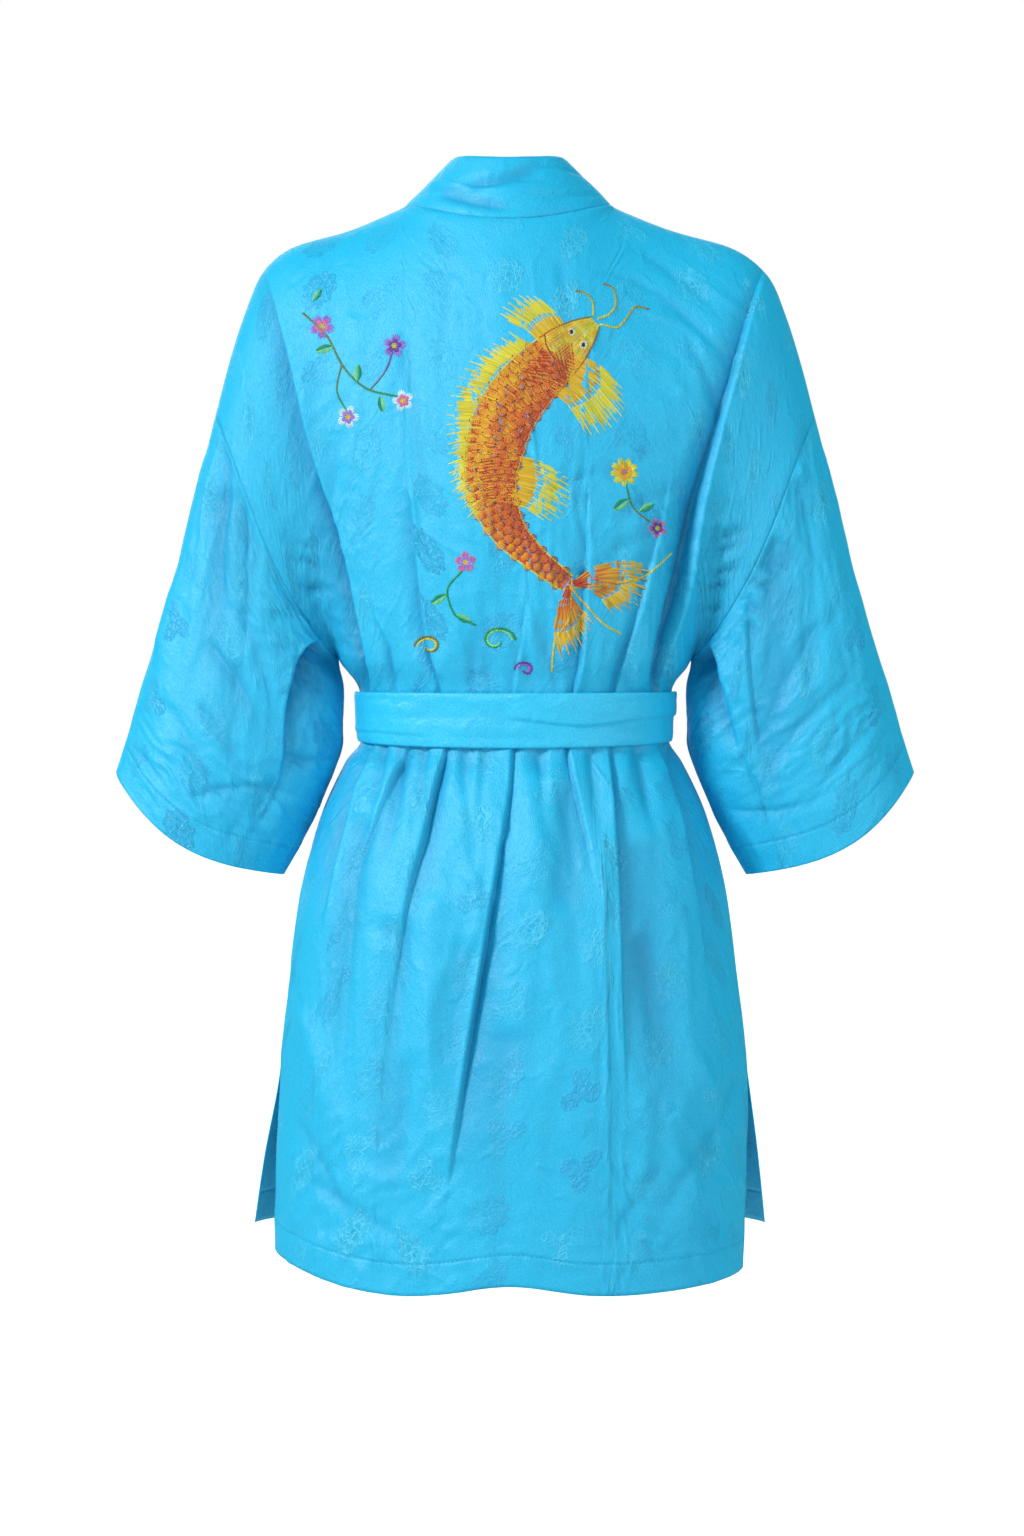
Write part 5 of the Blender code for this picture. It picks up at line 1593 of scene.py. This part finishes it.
def waist_point(full_turn, drop, off):
    """A point round the waist, a way outside the robe's cloth. The turn is 90 at the middle of the back."""
    behind = full_turn <= 180
    half_turn = np.where(behind, full_turn, 360 - full_turn)
    side = np.where(half_turn <= 90, 1, -1)
    turn = np.where(half_turn <= 90, half_turn, 180 - half_turn)
    hind, fore = (body_point(side, turn, drop, face) for face in ("back", "front"))
    point = np.where(behind[..., None], hind, fore)
    deep = np.where(behind, read(SECTIONS, BEHIND, drop), read(SECTIONS, BEFORE, drop))
    outward = points_of(point[..., 0] / read(SECTIONS, HALF, drop) ** 2, point[..., 1] / deep**2, 0)
    outward /= np.linalg.norm(outward, axis=-1, keepdims=True)
    return point + outward * np.expand_dims(off, -1)


full_turn, height = np.meshgrid(np.linspace(0, 360, BELT_COLUMNS), np.linspace(0, 1, BELT_ROWS))
sag = BELT_SAG * np.maximum(np.sin(np.radians(full_turn)), 0)
drop = mix(BELT_TOP + sag / 2, BELT_BOTTOM + sag, height)
plain = waist_point(full_turn, drop, 0 * drop)
x = plain[..., 0]
lapped = rise(-100, -72, x) * (1 - rise(84, 104, x)) * (plain[..., 1] < 0)
off = BELT_CLEAR + BELT_OVER_LAP * lapped
behind = plain[..., 1] > 0
# each tuck's height, and how far in from its two ends it fades
for tuck, proud, first_fade, last_fade in (
    (TUCK_RIGHT, 2.0, (-6, 4), (-18, 0)),
    (TUCK_LEFT, 1.3, (0, 18), (-4, 6)),
):
    first, last = (tuck[0][0] + step for step in first_fade), (tuck[-1][0] + step for step in last_fade)
    here = rise(*first, x) * (1 - rise(*last, x))
    off += proud * here * (1 - rise(-1.0, 1.0, drop - read(tuck, 1, x))) * behind
off += fold_push(BELT_CREASES, x, drop) * np.where(behind, 1, FRONT_FACE)
off += 0.5 * uneven(full_turn / 14, height * 2.2, 24) + 0.22 * uneven(full_turn / 5, height * 6, 25)
for from_edge in (height * BELT_HIGH, (1 - height) * BELT_HIGH):
    off -= BELT_EDGES_IN * np.exp(-from_edge / BELT_EDGE)
points = waist_point(full_turn, drop, off)
belt_silk = silk("sash silk", (0.02, 0.58, 0.89), ROBE_DEEP, ROBE_LIGHT, figured=0.3, roughness=0.44)
sash = cloth_piece("sash_band", points, 1, belt_silk, wall=BELT_WALL, close=True)
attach(sash, "root")
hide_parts("belt_band")


# The sash's knot and its two ends: a plain knot drawn tight in front, with the band's folds gathered into
# it, and the two ends falling from under it.
KNOT_SIZE = (52, 34, 50)
KNOT_FILLS = (0.97, 0.95, 0.97)
KNOT_PINCH = 0.16
KNOT_Y = -121
KNOT_DROP = (BELT_TOP + BELT_BOTTOM) / 2
KNOT_BOTTOM = KNOT_DROP + KNOT_SIZE[2] / 2
TAIL_LENGTH = 330
TAIL_UNEVEN = 28
TAIL_WIDTH = 44
TAIL_TOP = 22
TAIL_CLEAR = 6.5
TAIL_TUCKED = 4
TAIL_WALL = 1.4
TAIL_HEM = 8

bpy.ops.object.select_all(action="DESELECT")
bpy.ops.mesh.primitive_uv_sphere_add(segments=96, ring_count=56, radius=1)
knot = bpy.context.object
knot.name = "sash_knot"
for vertex in knot.data.vertices:
    x, y, z = vertex.co
    box = (abs(x) ** 3 + abs(y) ** 3 + abs(z) ** 3) ** (-1 / 3)
    x, y, z = x * box, y * box, z * box
    slant = (x + 0.3 * z) / 0.16
    wrap = 1 - KNOT_PINCH * math.exp(-((slant - 3.4) ** 2)) - KNOT_PINCH * math.exp(-((slant + 3.4) ** 2))
    pleats = 1 + 0.025 * math.sin(15 * (x + 0.35 * z) + 2 * math.sin(3 * z))
    shape = (x * wrap, y * wrap * pleats, z * pleats)
    place = [size / 2 * fill * value for size, fill, value in zip(KNOT_SIZE, KNOT_FILLS, shape)]
    vertex.co = Vector((place[0], KNOT_Y + place[1], place[2] - KNOT_DROP)) * MM
knot.data.shade_smooth()
knot.data.uv_layers[0].name = "cloth"
for loop in knot.data.loops:
    place = knot.data.vertices[loop.vertex_index].co
    knot.data.uv_layers[0].data[loop.index].uv = (place.x, place.z)
knot.data.materials.append(belt_silk)
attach(knot, "root")
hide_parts("belt_knot")

for side_name, side, length in (("left", 1, TAIL_LENGTH), ("right", -1, TAIL_LENGTH - TAIL_UNEVEN)):
    across, share = np.meshgrid(np.linspace(-1, 1, 25), np.linspace(0, 1, 130))
    drop = KNOT_BOTTOM - TAIL_TUCKED + (length + TAIL_TUCKED) * share
    half_width = mix(TAIL_TOP, TAIL_WIDTH, rise(0, 0.3, share)) / 2
    x = side * (half_width + mix(2, 12, share)) + across * half_width
    body_front = body_point(1, turn_at(1, x, drop, "front"), drop, "front")[..., 1]
    y = np.minimum(body_front - LAP - TAIL_CLEAR, KNOT_Y + 2 * across**2)
    wave = 2.5 * np.sin(math.tau * 0.6 * across + side) * rise(0, 0.2, share)
    pleats = 1.1 * np.cos(9 * across + side) * np.exp(-share / 0.12)
    pleats = pleats + 0.5 * uneven(across * 2.5, share * 9, 31 + side)
    points = points_of(x, y - wave - pleats, -drop)
    marks = (("hem", to_last_row(points) - TAIL_HEM),)
    tail = cloth_piece("sash_end_" + side_name, points, 1, belt_silk, wall=TAIL_WALL, marks=marks)
    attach(tail, "root")
    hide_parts("belt_tail_" + side_name)
